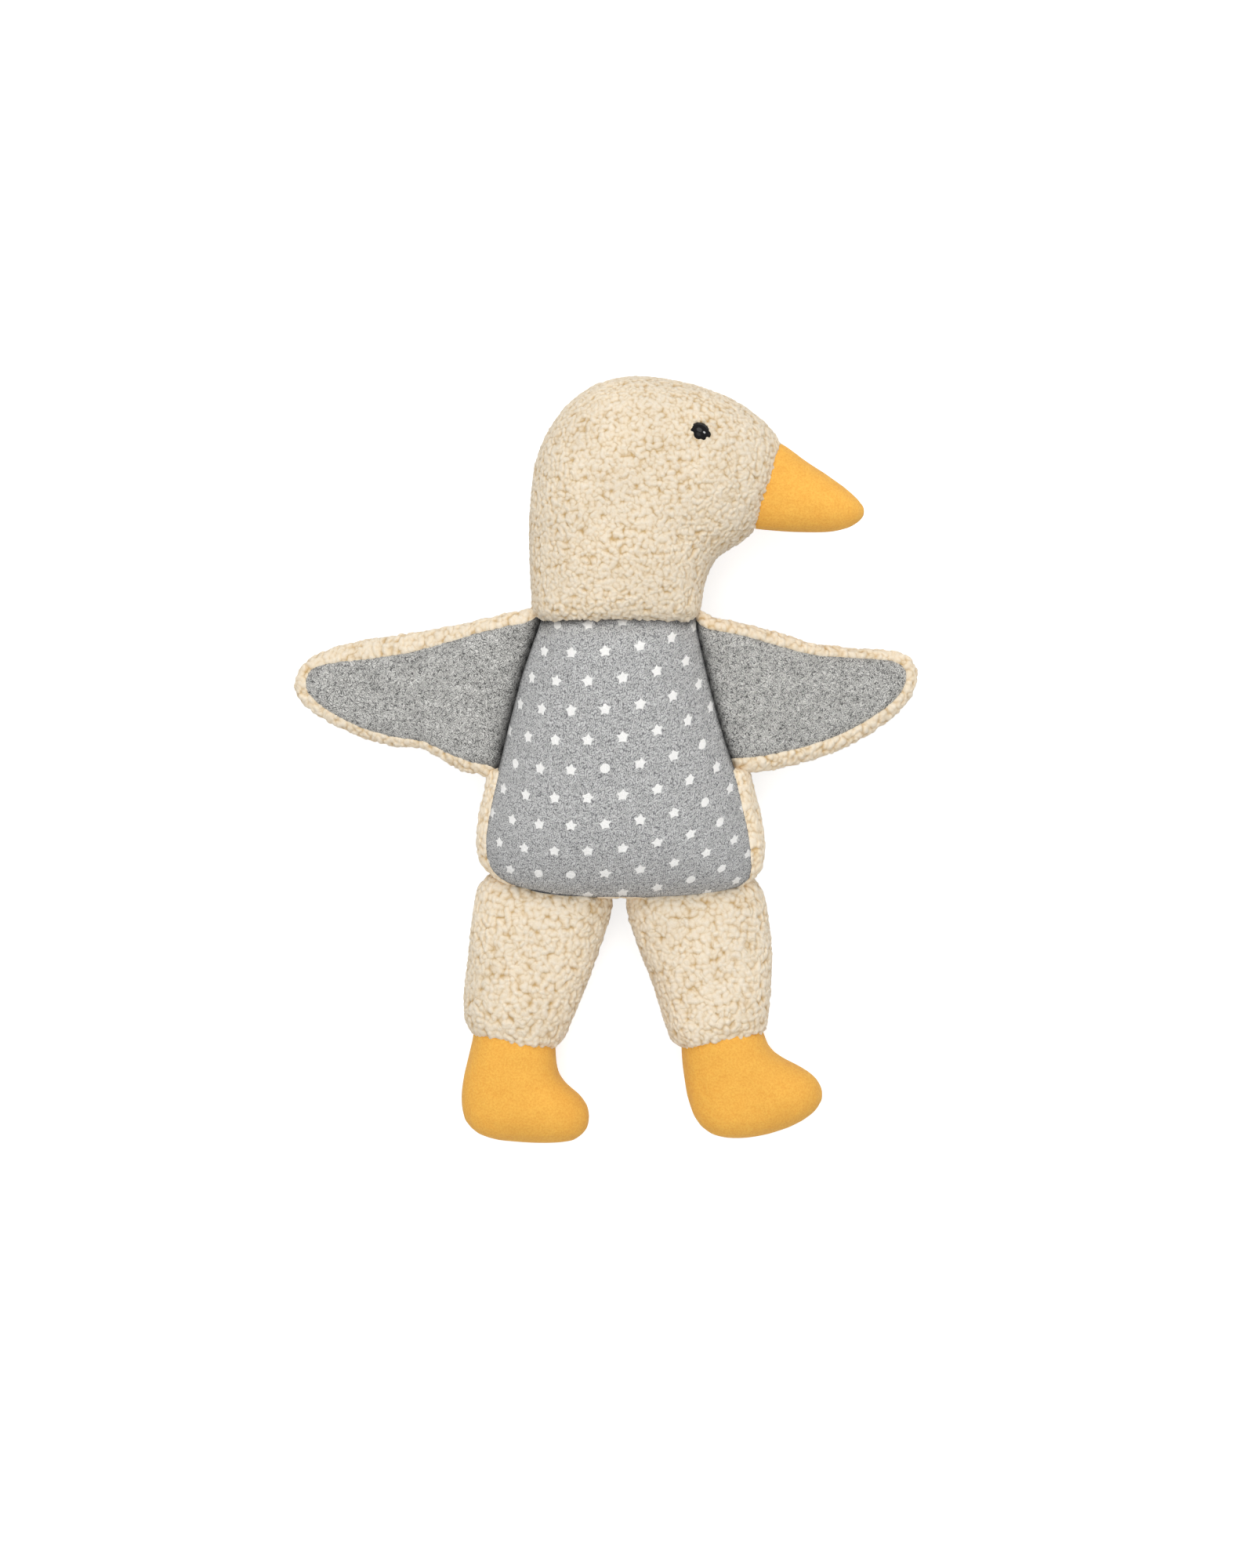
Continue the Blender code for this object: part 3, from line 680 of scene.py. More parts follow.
def winding(place, width):
    """How far a place lies from the creases between winding strands of this width, from 0 to 1."""
    turned = scaled(place, math.pi / width)
    waves = vector_maths("SINE", turned)
    split = joined("ShaderNodeSeparateXYZ", {0: vector_maths("COSINE", turned)}).outputs
    moved = joined("ShaderNodeCombineXYZ", {0: split[1], 1: split[2], 2: split[0]}).outputs[0]
    field = vector_maths("DOT_PRODUCT", waves, moved).node.outputs["Value"]
    return maths("ABSOLUTE", field)


def curl_pattern(place, size):
    """Height of the pile: round nubs of uneven size and height close to each other, some of them
    drawn out into short curls, with soft creases between them."""
    bent = bent_place(place, size * 2.4, size * 1.5)
    nub = cells(bent, size, "SMOOTH_F1")
    nub.inputs["Smoothness"].default_value = 0.08
    nub = ranged(nub.outputs["Distance"], 0.05, 1.02)
    dome = maths("SUBTRACT", 1.0, times(nub, nub))
    crease = plus(winding(bent, size * 1.7), noise(place, size * 2, 0.0))
    crease = ranged(crease, 0.4, 0.7, 0.7, 1.0)
    tall = ranged(noise(place, size * 1.7, 1.0), 0.3, 0.7, 0.76, 1.0)
    return times(times(dome, crease), tall)


def curl_group(size, pile):
    """Geometry nodes that raise the curl pattern along the cloth's normals."""
    tree = bpy.data.node_groups.new("raise_curls", "GeometryNodeTree")
    tree.interface.new_socket("Geometry", in_out="INPUT", socket_type="NodeSocketGeometry")
    tree.interface.new_socket("Geometry", in_out="OUTPUT", socket_type="NodeSocketGeometry")
    start, end = tree.nodes.new("NodeGroupInput"), tree.nodes.new("NodeGroupOutput")
    place = node(tree, "GeometryNodeInputPosition").outputs[0]
    cover = node(tree, "GeometryNodeInputNamedAttribute", {"Name": "pile_cover"}).outputs[0]
    height = times(times(curl_pattern(place, size), cover), pile)
    out = node(tree, "GeometryNodeInputNormal").outputs[0]
    inputs = {"Geometry": start.outputs[0], "Offset": scaled(out, height)}
    moved = joined("GeometryNodeSetPosition", inputs)
    tree.links.new(moved.outputs[0], end.inputs[0])
    return tree


# Materials


def new_material(name):
    material = bpy.data.materials.new(name)
    material.use_nodes = True
    return material, material.node_tree


def set_surface(tree, tint, bump, roughness, specular, sheen=0.0, spread=0.5, tone=(1, 1, 1, 1)):
    """Joins colour and bump to a material's shader and sets its constant values."""
    inputs = {
        "Base Color": tint, "Roughness": roughness, "Specular IOR Level": specular,
        "Sheen Weight": sheen, "Sheen Roughness": spread, "Sheen Tint": tone,
    }
    if bump:
        inputs["Normal"] = bump
    feed(tree, tree.nodes["Principled BSDF"], inputs)


def mixed(factor, first, second, blend="MIX"):
    colours = (c if isinstance(c, bpy.types.NodeSocket) else (*c, 1) for c in (first, second))
    inputs = dict(zip((0, 6, 7), (factor, *colours)))
    return joined("ShaderNodeMix", inputs, data_type="RGBA", blend_type=blend).outputs[2]


def shaded(tint, shade):
    """A colour made darker or lighter by a number."""
    return mixed(1.0, tint, scaled((1.0, 1.0, 1.0), shade), "MULTIPLY")


def object_place(tree):
    return node(tree, "ShaderNodeTexCoord").outputs["Object"]


def bumped(height, distance, strength, under=None):
    inputs = {"Height": height, "Distance": distance, "Strength": strength}
    if under is not None:
        inputs["Normal"] = under
    return joined("ShaderNodeBump", inputs).outputs[0]


def fold_shade(tree):
    """Painted shade: darkens the cloth's colour where it goes down into a seam or lies under the
    edge of the next part.
    """
    painted_seam_shade = node(tree, "ShaderNodeAttribute", attribute_name="painted_seam_shade").outputs["Fac"]
    return ranged(painted_seam_shade, 0.0, 1.0, 1.0, 0.02)


def curly_cloth(name, size, tone, colours):
    """Cream pile cloth: light curls with painted highlights on their tops, painted warm shade in
    the creases between them, and a fine fuzz over all.
    """
    material, tree = new_material(name)
    place = node(tree, "ShaderNodeAttribute", attribute_name="cloth_place").outputs["Vector"]
    height = curl_pattern(place, size)
    strands = noise(place, size * 0.16, 3.0, 0.6)
    patches = noise(place, 0.022, 2.0)
    # Painted shade: the lower the pile, the more its colour goes to the dark crease colour
    depth = ranged(height, 0.1, 0.62, 0.0, 1.0)
    tint = mixed(depth, colours.crease, colours.crest)
    # Painted highlight: the tallest curls are lightened towards near white
    tint = mixed(ranged(height, 0.62, 0.9, 0.0, 0.5), tint, (0.98, 0.9, 0.77))
    # The fibres' uneven tone, scaled by the piece's brightness, which is painted light and shade: a
    # lighter or darker copy of the same cloth for each piece
    shade = ranged(strands, 0.3, 0.7, 0.93 * tone, 1.05 * tone)
    tint = shaded(tint, times(shade, ranged(patches, 0.3, 0.7, 0.95, 1.03)))
    fuzz = bumped(strands, 0.00022, 0.7, bumped(height, 0.0008, 0.65))
    set_surface(tree, tint, fuzz, 0.95, 0.2, 0.4, 0.5, (1.0, 0.95, 0.86, 1))
    return material


def felt(name, colours):
    """Orange felt: short matted fibres, a few darker threads and tiny pills."""
    material, tree = new_material(name)
    place = object_place(tree)
    fibres = noise(place, 0.0009, 4.0, 0.65)
    mats = noise(place, 0.006, 3.0, 0.6)
    clouds = noise(place, 0.03, 2.0)
    dark = ranged(fibres, 0.38, 0.6, 0.62, 0.0)
    dark = plus(dark, ranged(mats, 0.35, 0.7, 0.2, 0.0))
    tint = mixed(dark, colours.felt, colours.felt_shade)
    shade = ranged(clouds, 0.3, 0.7, 0.96, 1.03)
    # Painted shade along the seams, read from the stored seam shade
    tint = shaded(tint, times(shade, fold_shade(tree)))
    pills = cells(place, 0.0022, "SMOOTH_F1").outputs["Distance"]
    soft = bumped(pills, 0.0004, 0.25, bumped(mats, 0.0012, 0.35))
    nap = bumped(fibres, 0.0005, 0.6, soft)
    set_surface(tree, tint, nap, 0.92, 0.2, 0.3, 0.45, (1.0, 0.82, 0.5, 1))
    return material


def wing_fleece(name, colours):
    """Marled fleece: light grey wool with small dark crinkled fibres all through it."""
    material, tree = new_material(name)
    place = object_place(tree)
    bent = bent_place(place, 0.0021, 0.0028)
    strand = ranged(winding(bent, 0.00095), -0.1, 1.2)
    wool = plus(strand, ranged(noise(bent, 0.0016), 0.3, 0.7, -0.4, 0.4))
    clouds = noise(place, 0.007, 4.0)
    dark = ranged(wool, 0.05, 0.9, 1.0, 0.0)
    tint = mixed(dark, colours.fleece, colours.fleece_speck)
    shade = ranged(clouds, 0.3, 0.7, 0.86, 1.12)
    # Painted shade where the fleece goes down into its seams
    tint = shaded(tint, times(shade, fold_shade(tree)))
    set_surface(tree, tint, bumped(wool, 0.0005, 0.8), 0.95, 0.15, 0.15)
    return material


def star_print(print_map, cloth, sizes):
    """How much of the print lies on each place: five-pointed stars in rows and columns, each turned
    a little its own way, and some run together to a dot."""
    split = joined("ShaderNodeSeparateXYZ", {0: print_map})
    column, row = split.outputs[0], split.outputs[1]
    near_row = maths("ROUND", row)
    odd = times(maths("PINGPONG", near_row, 1.0), 0.5)
    near_column = plus(maths("ROUND", maths("SUBTRACT", column, odd)), odd)
    across = times(maths("SUBTRACT", column, near_column), sizes.column)
    up = times(maths("SUBTRACT", near_row, row), sizes.row)
    lot = joined("ShaderNodeCombineXYZ", {0: near_column, 1: near_row}).outputs[0]
    lot = joined("ShaderNodeTexWhiteNoise", {"Vector": lot}, noise_dimensions="3D").outputs[0]

    turn = plus(maths("ARCTAN2", across, up), ranged(lot, 0.0, 1.0, -0.22, 0.22))
    turn = maths("PINGPONG", plus(turn, math.tau * 5), math.pi / 5)
    squares = (maths("POWER", length, 2.0) for length in (across, up))
    reach = maths("SQRT", plus(*squares))
    tip, notch = sizes.star, sizes.star * STAR_NOTCH
    run = Vector((notch * math.cos(math.pi / 5) - tip, notch * math.sin(math.pi / 5)))
    along = maths("SUBTRACT", times(reach, maths("COSINE", turn)), tip)
    aside = times(reach, maths("SINE", turn))
    along, aside = times(along, run.y / run.length), times(aside, run.x / run.length)
    outside = maths("SUBTRACT", along, aside)
    dot = maths("SUBTRACT", reach, sizes.star * DOT_SIZE)
    blot = ranged(lot, 0.86, 0.9)
    outside = joined("ShaderNodeMix", {0: blot, 2: outside, 3: dot}).outputs[0]
    ragged = ranged(noise(cloth, 0.0014, 2.0), 0.3, 0.7, -0.00022, 0.00022)
    return ranged(plus(outside, ragged), -0.0001, 0.00028, 0.96, 0.0, "SMOOTHSTEP")


def star_jersey(name, sizes, colours):
    """Melange jersey with a print of five-pointed stars, slightly soft at their edges."""
    material, tree = new_material(name)
    print_map = node(tree, "ShaderNodeUVMap", uv_map="print").outputs[0]
    scale = node(tree, "ShaderNodeCombineXYZ", {0: sizes.column, 1: sizes.row, 2: 1.0}).outputs[0]
    cloth = vector_maths("MULTIPLY", print_map, scale)
    star = star_print(print_map, cloth, sizes)
    inputs = {"Vector": cloth, "Rotation": (0, 0, 0.7), "Scale": (1.0, 0.62, 1)}
    turned = joined("ShaderNodeMapping", inputs).outputs[0]
    yarn = winding(bent_place(turned, 0.0026, 0.0026), 0.00085)
    uneven = ranged(noise(cloth, 0.0017, 3.0, 0.6), 0.3, 0.7, -0.45, 0.45)
    yarn = plus(ranged(yarn, 0.05, 1.1), uneven)
    dark = ranged(yarn, 0.0, 0.95, 1.0, 0.0)
    tint = mixed(dark, colours.jersey, colours.jersey_shade)
    tint = shaded(tint, ranged(noise(cloth, 0.005, 4.0), 0.3, 0.7, 0.89, 1.08))
    # Painted shade where the jersey goes down into its seams and under the head
    tint = shaded(mixed(star, tint, colours.star), fold_shade(tree))
    weave = bumped(star, 0.0002, 0.4, bumped(yarn, 0.0003, 0.6))
    set_surface(tree, tint, weave, 0.88, 0.2, 0.12)
    return material


def bead(name, colours):
    material, tree = new_material(name)
    dust = ranged(noise(object_place(tree), 0.002), 0.3, 0.7)
    set_surface(tree, mixed(dust, colours.bead, (0.007, 0.006, 0.007)), None, 0.12, 0.2)
    return material


def shared(name, make, *arguments):
    return bpy.data.materials.get(name) or make(name, *arguments)


def finish_in_felt(context, obj, nodes):
    material = shared("orange_felt", felt, context.scene.duck_doll_colours)
    finish_piece(obj, material, nodes)


def finish_in_curls(context, obj, where, cover, nodes):
    """Raises the pile where it covers the cloth, and keeps each point's place for the material."""
    sizes, colours = settings(context)
    size = sizes.head_curl if where == "head" else sizes.leg_curl
    height, tone = CURLS[where]
    store(obj, "cloth_place", coords(obj) * MM)
    store(obj, "pile_cover", cover)
    modify(obj, "curls", "NODES", node_group=curl_group(size, sizes.pile * height))
    lay_on_floor(obj)
    material = shared(f"curly_cloth_{where}", curly_cloth, size, tone, colours)
    finish_piece(obj, material, nodes)


# Operators: one for each piece or group of like pieces


class DUCKDOLL_OT_sew_head(Operator):
    """Sew and fill the head and neck, with a dimple under each eye"""

    bl_idname = "duck_doll.sew_head"
    bl_label = "Sew head"

    def execute(self, context):
        bm = stuffed_form(HEAD_OUTLINE, HEAD)
        head = stuffed("head_cloth", HEAD, bm, (NECK_SEAM, -1), (BEAK_SEAM, 1))
        points = coords(head)
        away = np.hypot(points[:, 0] - EYE_PLACE[0], points[:, 1] - EYE_PLACE[1])
        up = np.sign(points[:, 2] - HEAD["seam"])
        points[:, 2] -= up * DIMPLE_DEPTH * bell(away, DIMPLE_WIDTH)
        set_coords(head, points)
        surfaces["head"] = surface_of(head)
        cover = shaggy_rim(coords(head), (NECK_SEAM, BEAK_SEAM))
        tufts = np.array([noise_at(Vector(point) * 0.6) for point in points])
        tufts = np.clip(0.3 + 3.2 * tufts, -0.6, 1.8)
        cover += bell(away - EYE_CURLS_RADIUS, EYE_CURLS_WIDTH) * tufts
        nodes = ("head_right_panel", "head_left_panel", "head_stuffing")
        finish_in_curls(context, head, "head", cover, nodes)
        return {"FINISHED"}


class DUCKDOLL_OT_sew_beak(Operator):
    """Sew and fill the beak, with its root inside the head"""

    bl_idname = "duck_doll.sew_beak"
    bl_label = "Sew beak"

    def execute(self, context):
        beak = stuffed("beak_felt", BEAK, stuffed_form(BEAK_OUTLINE, BEAK), (BEAK_ROOT, -1))
        nodes = ("beak_right_panel", "beak_left_panel", "beak_stuffing")
        finish_in_felt(context, beak, nodes)
        return {"FINISHED"}


class DUCKDOLL_OT_fix_eyes(Operator):
    """Set a glossy bead into the dimple on each side of the head"""

    bl_idname = "duck_doll.fix_eyes"
    bl_label = "Fix eyes"

    def execute(self, context):
        material = shared("black_bead", bead, context.scene.duck_doll_colours)
        radius = context.scene.duck_doll_sizes.eye
        for side, up in (("right", 1), ("left", -1)):
            bm = bmesh.new()
            bmesh.ops.create_uvsphere(bm, u_segments=48, v_segments=24, radius=radius)
            bmesh.ops.scale(bm, vec=EYE_SHAPE, verts=bm.verts)
            start = Vector((EYE_PLACE[0] * MM, EYE_PLACE[1] * MM, up))
            spot, out, _, _ = surfaces["head"].ray_cast(start, Vector((0, 0, -up)))
            if spot is None:
                raise RuntimeError("the eye found no cloth under it")
            turn = out.to_track_quat("Z", "Y").to_matrix().to_4x4()
            place = spot - out * (EYE_SUNK * MM)
            bmesh.ops.transform(bm, matrix=Matrix.Translation(place) @ turn, verts=bm.verts)
            sunk = BEAD_FLOOR_GAP * MM - min(v.co.z for v in bm.verts)
            if sunk > 0:
                bmesh.ops.translate(bm, vec=(0, 0, sunk), verts=bm.verts)
            eye = new_object(f"bead_eye_{side}", bm)
            finish_piece(eye, material, (f"eye_{side}",))
        return {"FINISHED"}


class DUCKDOLL_OT_sew_body(Operator):
    """Sew and fill the body in curly cloth, let in under the printed front and the wings"""

    bl_idname = "duck_doll.sew_body"
    bl_label = "Sew body"

    def execute(self, context):
        body = stuffed("body_cloth", BODY, body_form(), (BODY_TOP, 1))
        surfaces["body"] = surface_of(body)
        points, out = coords(body), normals(body)
        drawn = seen(points)
        depth = depth_inside(drawn, smooth_outline(FRONT_SEAM_OUTLINE))
        front = out[:, 2] > 0.05
        under = np.where(front, np.clip((depth - 0.2) / 1.2, 0, 1), 0)
        rim = np.where(front, bell(depth + 2.4, 1.8), 0)
        by_wing = beside_wing(drawn) * np.clip((points[:, 2] - 22) / 5, 0, 1)
        by_wing *= np.clip(1 - depth / 1.5, 0, 1)
        rim *= (1 - by_wing) * np.clip((points[:, 1] + 60) / 10, 0, 1)
        points -= out * (under * JERSEY_BED + by_wing * WING_BED - rim * RIM_BULGE)[:, None]
        set_coords(body, points)
        cover = (1 - under) * (1 - by_wing * 0.85)
        nodes = ("body_back_panel", "body_stuffing")
        finish_in_curls(context, body, "body", cover, nodes)
        return {"FINISHED"}


def patch(name, outline, crown, surface, lift, painted_seam_shade, top=1000.0, seam=0.0):
    """A cloth panel laid on a surface: lift says how far off it lies, and the other function how
    much painted shade darkens each place.
    """
    shares = [1 - 0.16 * (k / 12) ** 1.4 for k in range(13)]
    shares += [0.84 - 0.82 * k / 26 for k in range(1, 27)]
    loops = [ring(outline, crown, share, 0) for share in shares]
    obj = new_object(name, loft(loops, closed=False))
    points = coords(obj)
    depth = np.maximum(depth_inside(points, outline), 0)
    drawn = points.copy()
    for _ in range(2):
        heights = drop_on(surface, points, top, seam)
        for index, height in enumerate(heights):
            points[index, :2] = placed([drawn[index, :2]], height)[0]
    points[:, 2] = heights + lift(drawn, depth)
    set_coords(obj, points)
    # Keeps how much painted shade darkens each point
    store(obj, "painted_seam_shade", painted_seam_shade(drawn, depth))
    return obj


def beside_wing(points):
    """Where along the body's sides the wings are sewn on: 1 beside them, 0 below them."""
    return np.clip((points[:, 1] + 7) / 4, 0, 1)


def thicken(obj, thickness):
    modify(obj, "cloth", "SOLIDIFY", thickness=thickness * MM, offset=-1)


class DUCKDOLL_OT_sew_front(Operator):
    """Lay the printed jersey over the front of the body and map its print"""

    bl_idname = "duck_doll.sew_front"
    bl_label = "Sew printed front"

    def execute(self, context):
        sizes, colours = settings(context)
        outline = smooth_outline(FRONT_SEAM_OUTLINE, PANEL_STEPS)

        def lift(points, depth):
            height = -1.2 + 2.1 * (1 - np.exp(-depth / 1.3))
            return height - 4.2 * beside_wing(points) * np.exp(-depth / 0.7)

        # Painted shade along the jersey's edge where it goes down into the seam, darker beside the
        # wings, and a painted shadow under the edge of the head at the neck
        def painted_seam_shade(points, depth):
            side = (0.75 + 0.2 * beside_wing(points)) * bell(depth, 0.9)
            neck = 0.65 * bell(np.minimum(points[:, 1] - NECK_SEAM[0][1] + 1, 0), 1.3)
            return np.maximum(side, neck)

        front = patch(
            "body_jersey", outline, BODY["crown"], surfaces["body"], lift, painted_seam_shade,
            top=JERSEY_LEVEL_FROM, seam=JERSEY_SEAM,
        )
        bm = bmesh.new()
        bm.from_mesh(front.data)
        by_neck = [v for v in bm.verts if v.co.y > JERSEY_SMOOTH_FROM * MM]
        for _ in range(10):
            bmesh.ops.smooth_vert(bm, verts=by_neck, factor=0.5, use_axis_z=True)
        cut_away(bm, (0, JERSEY_TOP * MM, 0), (0, 1, 0))
        bm.to_mesh(front.data)
        bm.free()
        front.data.uv_layers.new(name="print")
        map_print(front, sizes)
        thicken(front, JERSEY_THICKNESS)
        material = shared("printed_jersey", star_jersey, sizes, colours)
        finish_piece(front, material, ("body_front_panel",))
        return {"FINISHED"}


def map_print(obj, sizes):
    """Gives each point its column and row of stars, wrapped over the belly and bowed beside it."""
    points = seen(coords(obj))
    x, y = points[:, 0] - PRINT_MIDDLE[0], points[:, 1]
    top, bottom = FRONT_SEAM_OUTLINE[1], FRONT_SEAM_OUTLINE[5]
    edge = top[0] + (bottom[0] - top[0]) * (top[1] - y) / (top[1] - bottom[1])
    low = np.maximum(20 - y, 0)
    roll = PRINT_WRAP * (PRINT_MIDDLE[0] - edge) * (1 + 0.0027 * low * (x > 0))
    pitch, step = sizes.column / MM, sizes.row / MM
    column = PRINT_COLUMN_SHIFT + roll / pitch * np.arcsin(np.clip(x / roll, -0.999, 0.999))
    rise = (PRINT_BOW * column**2 + PRINT_SLANT * column) * (1 - 0.003 * low)
    fall = np.clip((PRINT_MIDDLE[1] + rise - y) / PRINT_ROLL, -0.999, 0.999)
    row = PRINT_ROW_SHIFT + PRINT_ROLL / step * np.arcsin(fall)
    corner = np.empty(len(obj.data.loops), np.int32)
    obj.data.loops.foreach_get("vertex_index", corner)
    uv = np.stack([column[corner], row[corner]], axis=1).astype(np.float32)
    obj.data.uv_layers["print"].data.foreach_set("uv", uv.ravel())


def droop(x):
    """How high the middle of a wing stands: it bends down from the body and lies on the floor."""
    along = max(0, min(1, (abs(x) - WING_ROOT) / (WING_REST - WING_ROOT)))
    return WING_HALF + (WING_ROOT_HEIGHT - WING_HALF) * (1 - along**2 * (3 - 2 * along))


class DUCKDOLL_OT_sew_wings(Operator):
    """Sew both wings: curly cloth behind, rolled to the front round a marled fleece panel"""

    bl_idname = "duck_doll.sew_wings"
    bl_label = "Sew wings"

    def execute(self, context):
        fleece = shared("wing_fleece", wing_fleece, context.scene.duck_doll_colours)
        for side in ("right", "left"):
            crown = WING_CROWNS[side]
            edge = inset_outline(smooth_outline(WING_OUTLINES[side]), WING["inset"])
            drawn = WING_PANEL_OUTLINES[side]
            seam_line = inset_outline(smooth_outline(drawn), -WING_PANEL_OUTSET)
            loops = [ring(edge, crown, share, height) for share, height in WING_FRONT_LOOPS]
            loops += [ring(inset_outline(edge, d), crown, 1, h) for d, h in WING_EDGE_LOOPS]
            loops += [ring(edge, crown, share, height) for share, height in WING_BACK_LOOPS]
            loops = [
                [Vector((*placed([p.xy], droop(p.x))[0], p.z + droop(p.x))) for p in loop]
                for loop in loops
            ]
            wing = stuffed(f"wing_{side}_cloth", WING, loft(loops))
            surface = surface_of(wing)
            points, out = coords(wing), normals(wing)
            flat = seen(points)
            depth = depth_inside(flat, seam_line)
            front = np.clip(out[:, 2] * 4, 0, 1)
            under = front * np.clip((depth + 0.2) / 1.4, 0, 1)
            dip = front * WING_DIP * np.exp(-from_body(flat, side) / DIP_REACH)
            points -= out * (under * FLEECE_BED)[:, None]
            points[:, 2] -= dip
            set_coords(wing, points)
            cover = (1 - under) * np.clip(1 - dip / 3, 0, 1)
            nodes = (f"wing_{side}_back_panel", f"wing_{side}_padding")
            finish_in_curls(context, wing, "wing", cover, nodes)

            def lift(points, depth, side=side):
                dip = FLEECE_DIP * np.exp(-from_body(points, side) / DIP_REACH)
                return -1.0 + 1.9 * (1 - np.exp(-depth / 1.5)) - dip

            # Painted shade: a dark crease where the fleece goes down into the seam at the body, a
            # painted shadow reaching out from it, and painted shade along the fleece's edge under
            # the curly rim
            def painted_seam_shade(points, depth, side=side):
                root = from_body(points, side)
                crease, shadow = (2.6, 0.42) if side == "right" else (1.7, 0.3)
                seam = 0.9 * bell(root, crease) + shadow * np.exp(-root / 6)
                return np.minimum(seam + 0.3 * np.exp(-depth / 1.1), 1)

            outline = inset_outline(smooth_outline(drawn, PANEL_STEPS), -WING_PANEL_OUTSET)
            panel = patch(f"wing_{side}_fleece", outline, crown, surface, lift, painted_seam_shade)
            thicken(panel, FLEECE_THICKNESS)
            finish_piece(panel, fleece, (f"wing_{side}_front_panel",))
        return {"FINISHED"}


def from_body(points, side):
    """How far out from the edge of the printed front each point of a wing lies."""
    line = FRONT_SEAM_OUTLINE[1:6] if side == "right" else FRONT_SEAM_OUTLINE[15:20]
    heights, reach = zip(*sorted((y, abs(x)) for x, y in line))
    return np.maximum(np.abs(points[:, 0]) - np.interp(points[:, 1], heights, reach), 0)


class DUCKDOLL_OT_sew_legs(Operator):
    """Sew and fill both legs, closed round the ankles"""

    bl_idname = "duck_doll.sew_legs"
    bl_label = "Sew legs"

    def execute(self, context):
        for side in ("right", "left"):
            form = {**LEG, "crown": LEG_CROWNS[side]}
            bm = stuffed_form(LEG_OUTLINES[side], form)
            leg = stuffed(f"leg_{side}_cloth", form, bm, (ANKLE_SEAMS[side], -1))
            cover = shaggy_rim(coords(leg), (ANKLE_SEAMS[side],))
            nodes = (f"leg_{side}_{piece}" for piece in LIMB_PIECES)
            finish_in_curls(context, leg, "leg", cover, nodes)
        return {"FINISHED"}


class DUCKDOLL_OT_sew_feet(Operator):
    """Sew and fill both feet, with their tops inside the legs"""

    bl_idname = "duck_doll.sew_feet"
    bl_label = "Sew feet"

    def execute(self, context):
        for side in ("right", "left"):
            form = {**FOOT, "crown": FOOT_CROWNS[side]}
            foot = stuffed(f"foot_{side}_felt", form, stuffed_form(FOOT_OUTLINES[side], form))
            lay_on_floor(foot)
            points = coords(foot)
            # Painted shade: a thin dark line along the seam round the sole, on the lowest part of
            # each foot
            sole = np.clip((SOLE_FROM - points[:, 1]) / 6, 0, 1)
            store(foot, "painted_seam_shade", 0.75 * sole * bell(points[:, 2] - FOOT["seam"], 1.6))
            nodes = (f"foot_{side}_{piece}" for piece in LIMB_PIECES)
            finish_in_felt(context, foot, nodes)
        return {"FINISHED"}


def ray_of(tree, first, *others):
    """1 for these kinds of ray and 0 for all others."""
    rays = node(tree, "ShaderNodeLightPath").outputs
    found = rays[f"Is {first} Ray"]
    for kind in others:
        found = maths("MAXIMUM", found, rays[f"Is {kind} Ray"])
    return found


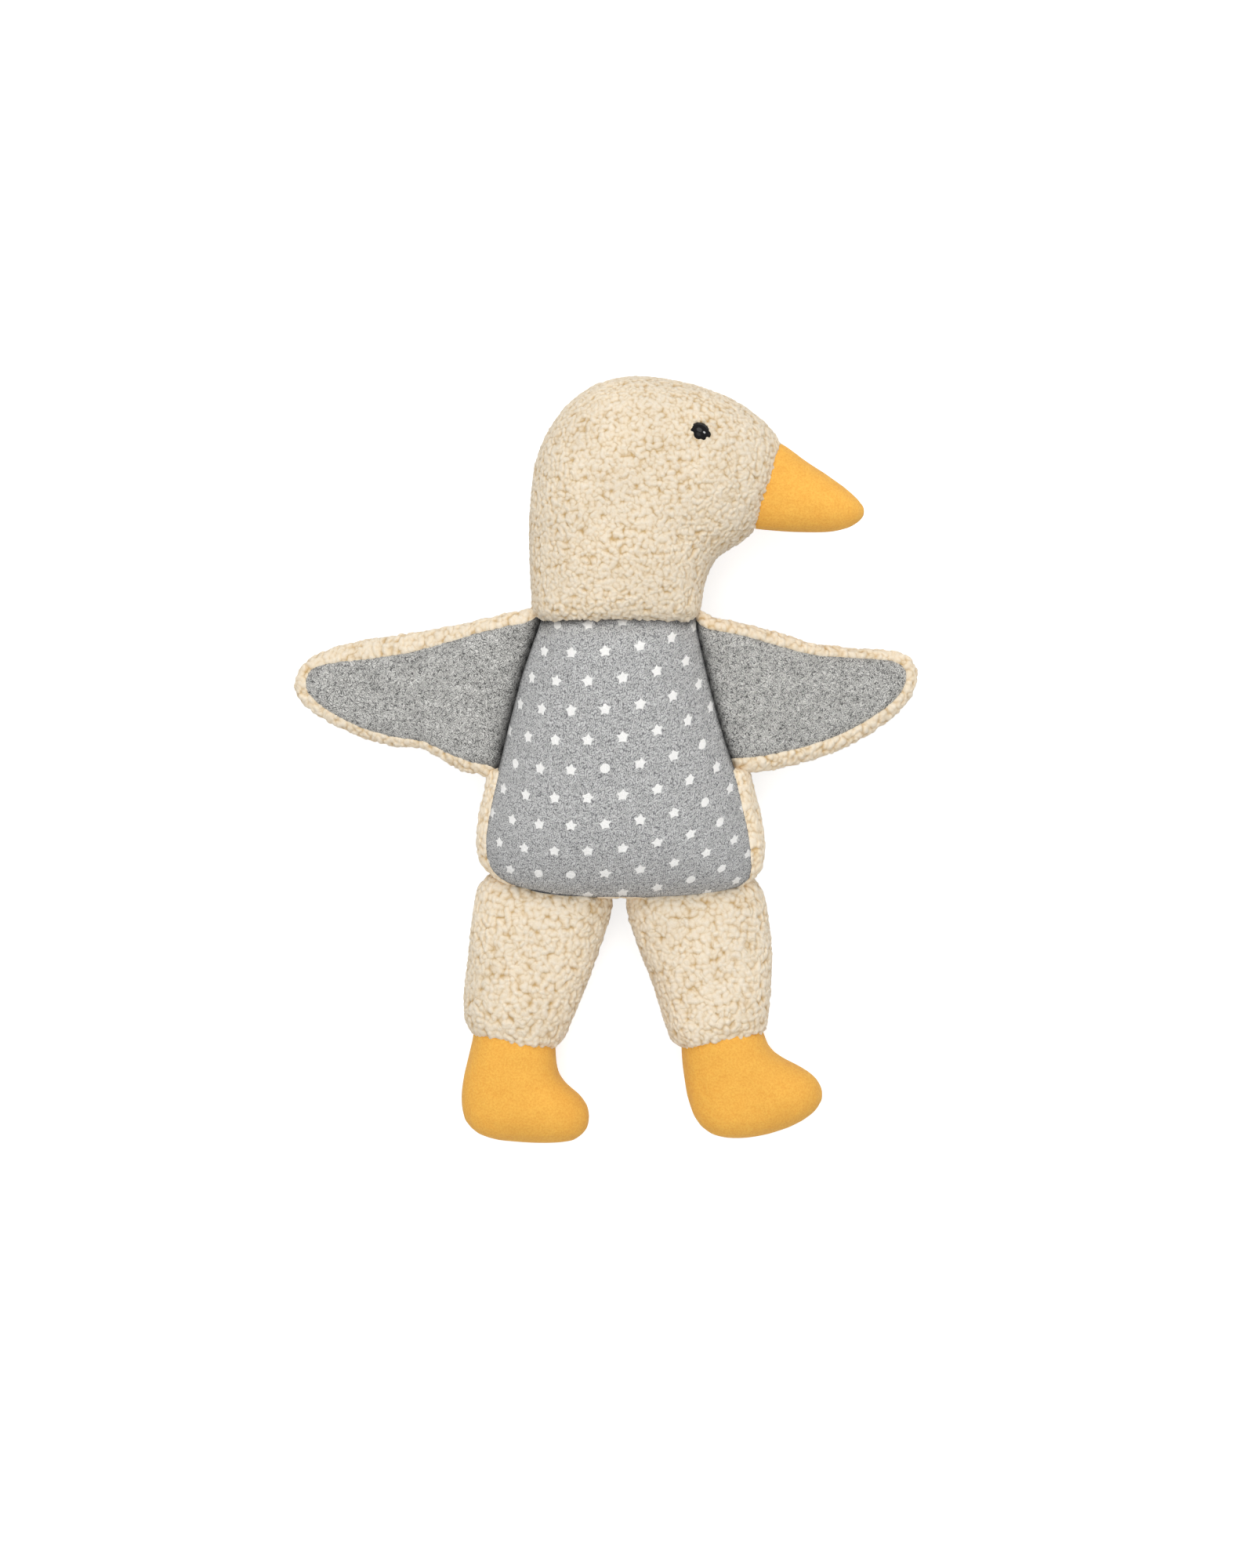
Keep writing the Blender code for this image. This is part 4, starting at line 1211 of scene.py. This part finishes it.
class DUCKDOLL_OT_set_stage(Operator):
    """Lay the white floor and set the lights and the camera above the doll"""

    bl_idname = "duck_doll.set_stage"
    bl_label = "Set stage"

    def execute(self, context):
        stage = context.scene.duck_doll_stage
        context.scene.view_settings.view_transform = "Standard"
        self.lay_floor()
        self.light_sky(context, stage.sky)
        self.hang_lamp("key_lamp", (0.05, 0.85, 1.25), 1.0, stage.key)
        self.hang_lamp("front_lamp", (-0.35, -0.25, 1.9), 1.2, stage.fill)
        eye_light = self.hang_lamp("eye_lamp", (0.95, 0.45, 1.15), 0.46, stage.catch)
        eye_light.visible_diffuse = False
        camera = bpy.data.cameras.new("camera")
        camera.lens = 80.2
        camera.sensor_width = 36
        camera.clip_end = 20
        context.scene.camera = linked("camera", camera)
        context.scene.camera.location = stage.camera
        return {"FINISHED"}

    def lay_floor(self):
        bm = bmesh.new()
        bmesh.ops.create_grid(bm, x_segments=1, y_segments=1, size=6)
        floor = new_object("floor", bm)
        material, tree = new_material("white_floor")
        set_surface(tree, (0.62, 0.62, 0.62, 1), None, 1, 0)
        shader = tree.nodes["Principled BSDF"].outputs[0]
        glow = node(tree, "ShaderNodeEmission", {"Color": (1, 1, 1, 1), "Strength": 0.7})
        both = joined("ShaderNodeAddShader", {0: shader, 1: glow.outputs[0]})
        rays = ray_of(tree, "Camera", "Glossy", "Transmission")
        choice = joined("ShaderNodeMixShader", {0: rays, 1: shader, 2: both.outputs[0]})
        feed(tree, tree.nodes["Material Output"], {"Surface": choice.outputs[0]})
        floor.data.materials.append(material)

    def light_sky(self, context, strength):
        world = bpy.data.worlds.new("studio")
        world.use_nodes = True
        tree = world.node_tree
        level = ranged(ray_of(tree, "Camera", "Transmission"), 0.0, 1.0, strength, 1.0)
        feed(tree, tree.nodes["Background"], {"Color": (1, 1, 1, 1), "Strength": level})
        context.scene.world = world

    def hang_lamp(self, name, place, size, power):
        lamp = bpy.data.lights.new(name, "AREA")
        lamp.shape = "DISK"
        lamp.size = size
        lamp.energy = power
        holder = linked(name, lamp)
        holder.location = place
        holder.rotation_euler = (-Vector(place)).to_track_quat("-Z", "Y").to_euler()
        return holder


class DUCKDOLL_PT_panel(Panel):
    bl_label = "Duck Rag Doll"
    bl_idname = "DUCKDOLL_PT_panel"
    bl_space_type = "VIEW_3D"
    bl_region_type = "UI"
    bl_category = "Duck Doll"

    def draw(self, context):
        layout = self.layout
        for group in (*settings(context), context.scene.duck_doll_stage):
            box = layout.box()
            for name in group.__annotations__:
                box.prop(group, name)
        for operator in OPERATORS:
            layout.operator(operator.bl_idname)


OPERATORS = (
    DUCKDOLL_OT_sew_head,
    DUCKDOLL_OT_sew_beak,
    DUCKDOLL_OT_fix_eyes,
    DUCKDOLL_OT_sew_body,
    DUCKDOLL_OT_sew_front,
    DUCKDOLL_OT_sew_wings,
    DUCKDOLL_OT_sew_legs,
    DUCKDOLL_OT_sew_feet,
    DUCKDOLL_OT_set_stage,
)
CLASSES = (DuckDollSizes, DuckDollColours, DuckDollStage, *OPERATORS, DUCKDOLL_PT_panel)


def register():
    for item in CLASSES:
        bpy.utils.register_class(item)
    bpy.types.Scene.duck_doll_sizes = PointerProperty(type=DuckDollSizes)
    bpy.types.Scene.duck_doll_colours = PointerProperty(type=DuckDollColours)
    bpy.types.Scene.duck_doll_stage = PointerProperty(type=DuckDollStage)


def unregister():
    del bpy.types.Scene.duck_doll_stage
    del bpy.types.Scene.duck_doll_colours
    del bpy.types.Scene.duck_doll_sizes
    for item in reversed(CLASSES):
        bpy.utils.unregister_class(item)


def main():
    register()
    for operator in OPERATORS:
        group, name = operator.bl_idname.split(".")
        getattr(getattr(bpy.ops, group), name)()


if __name__ == "__main__":
    main()
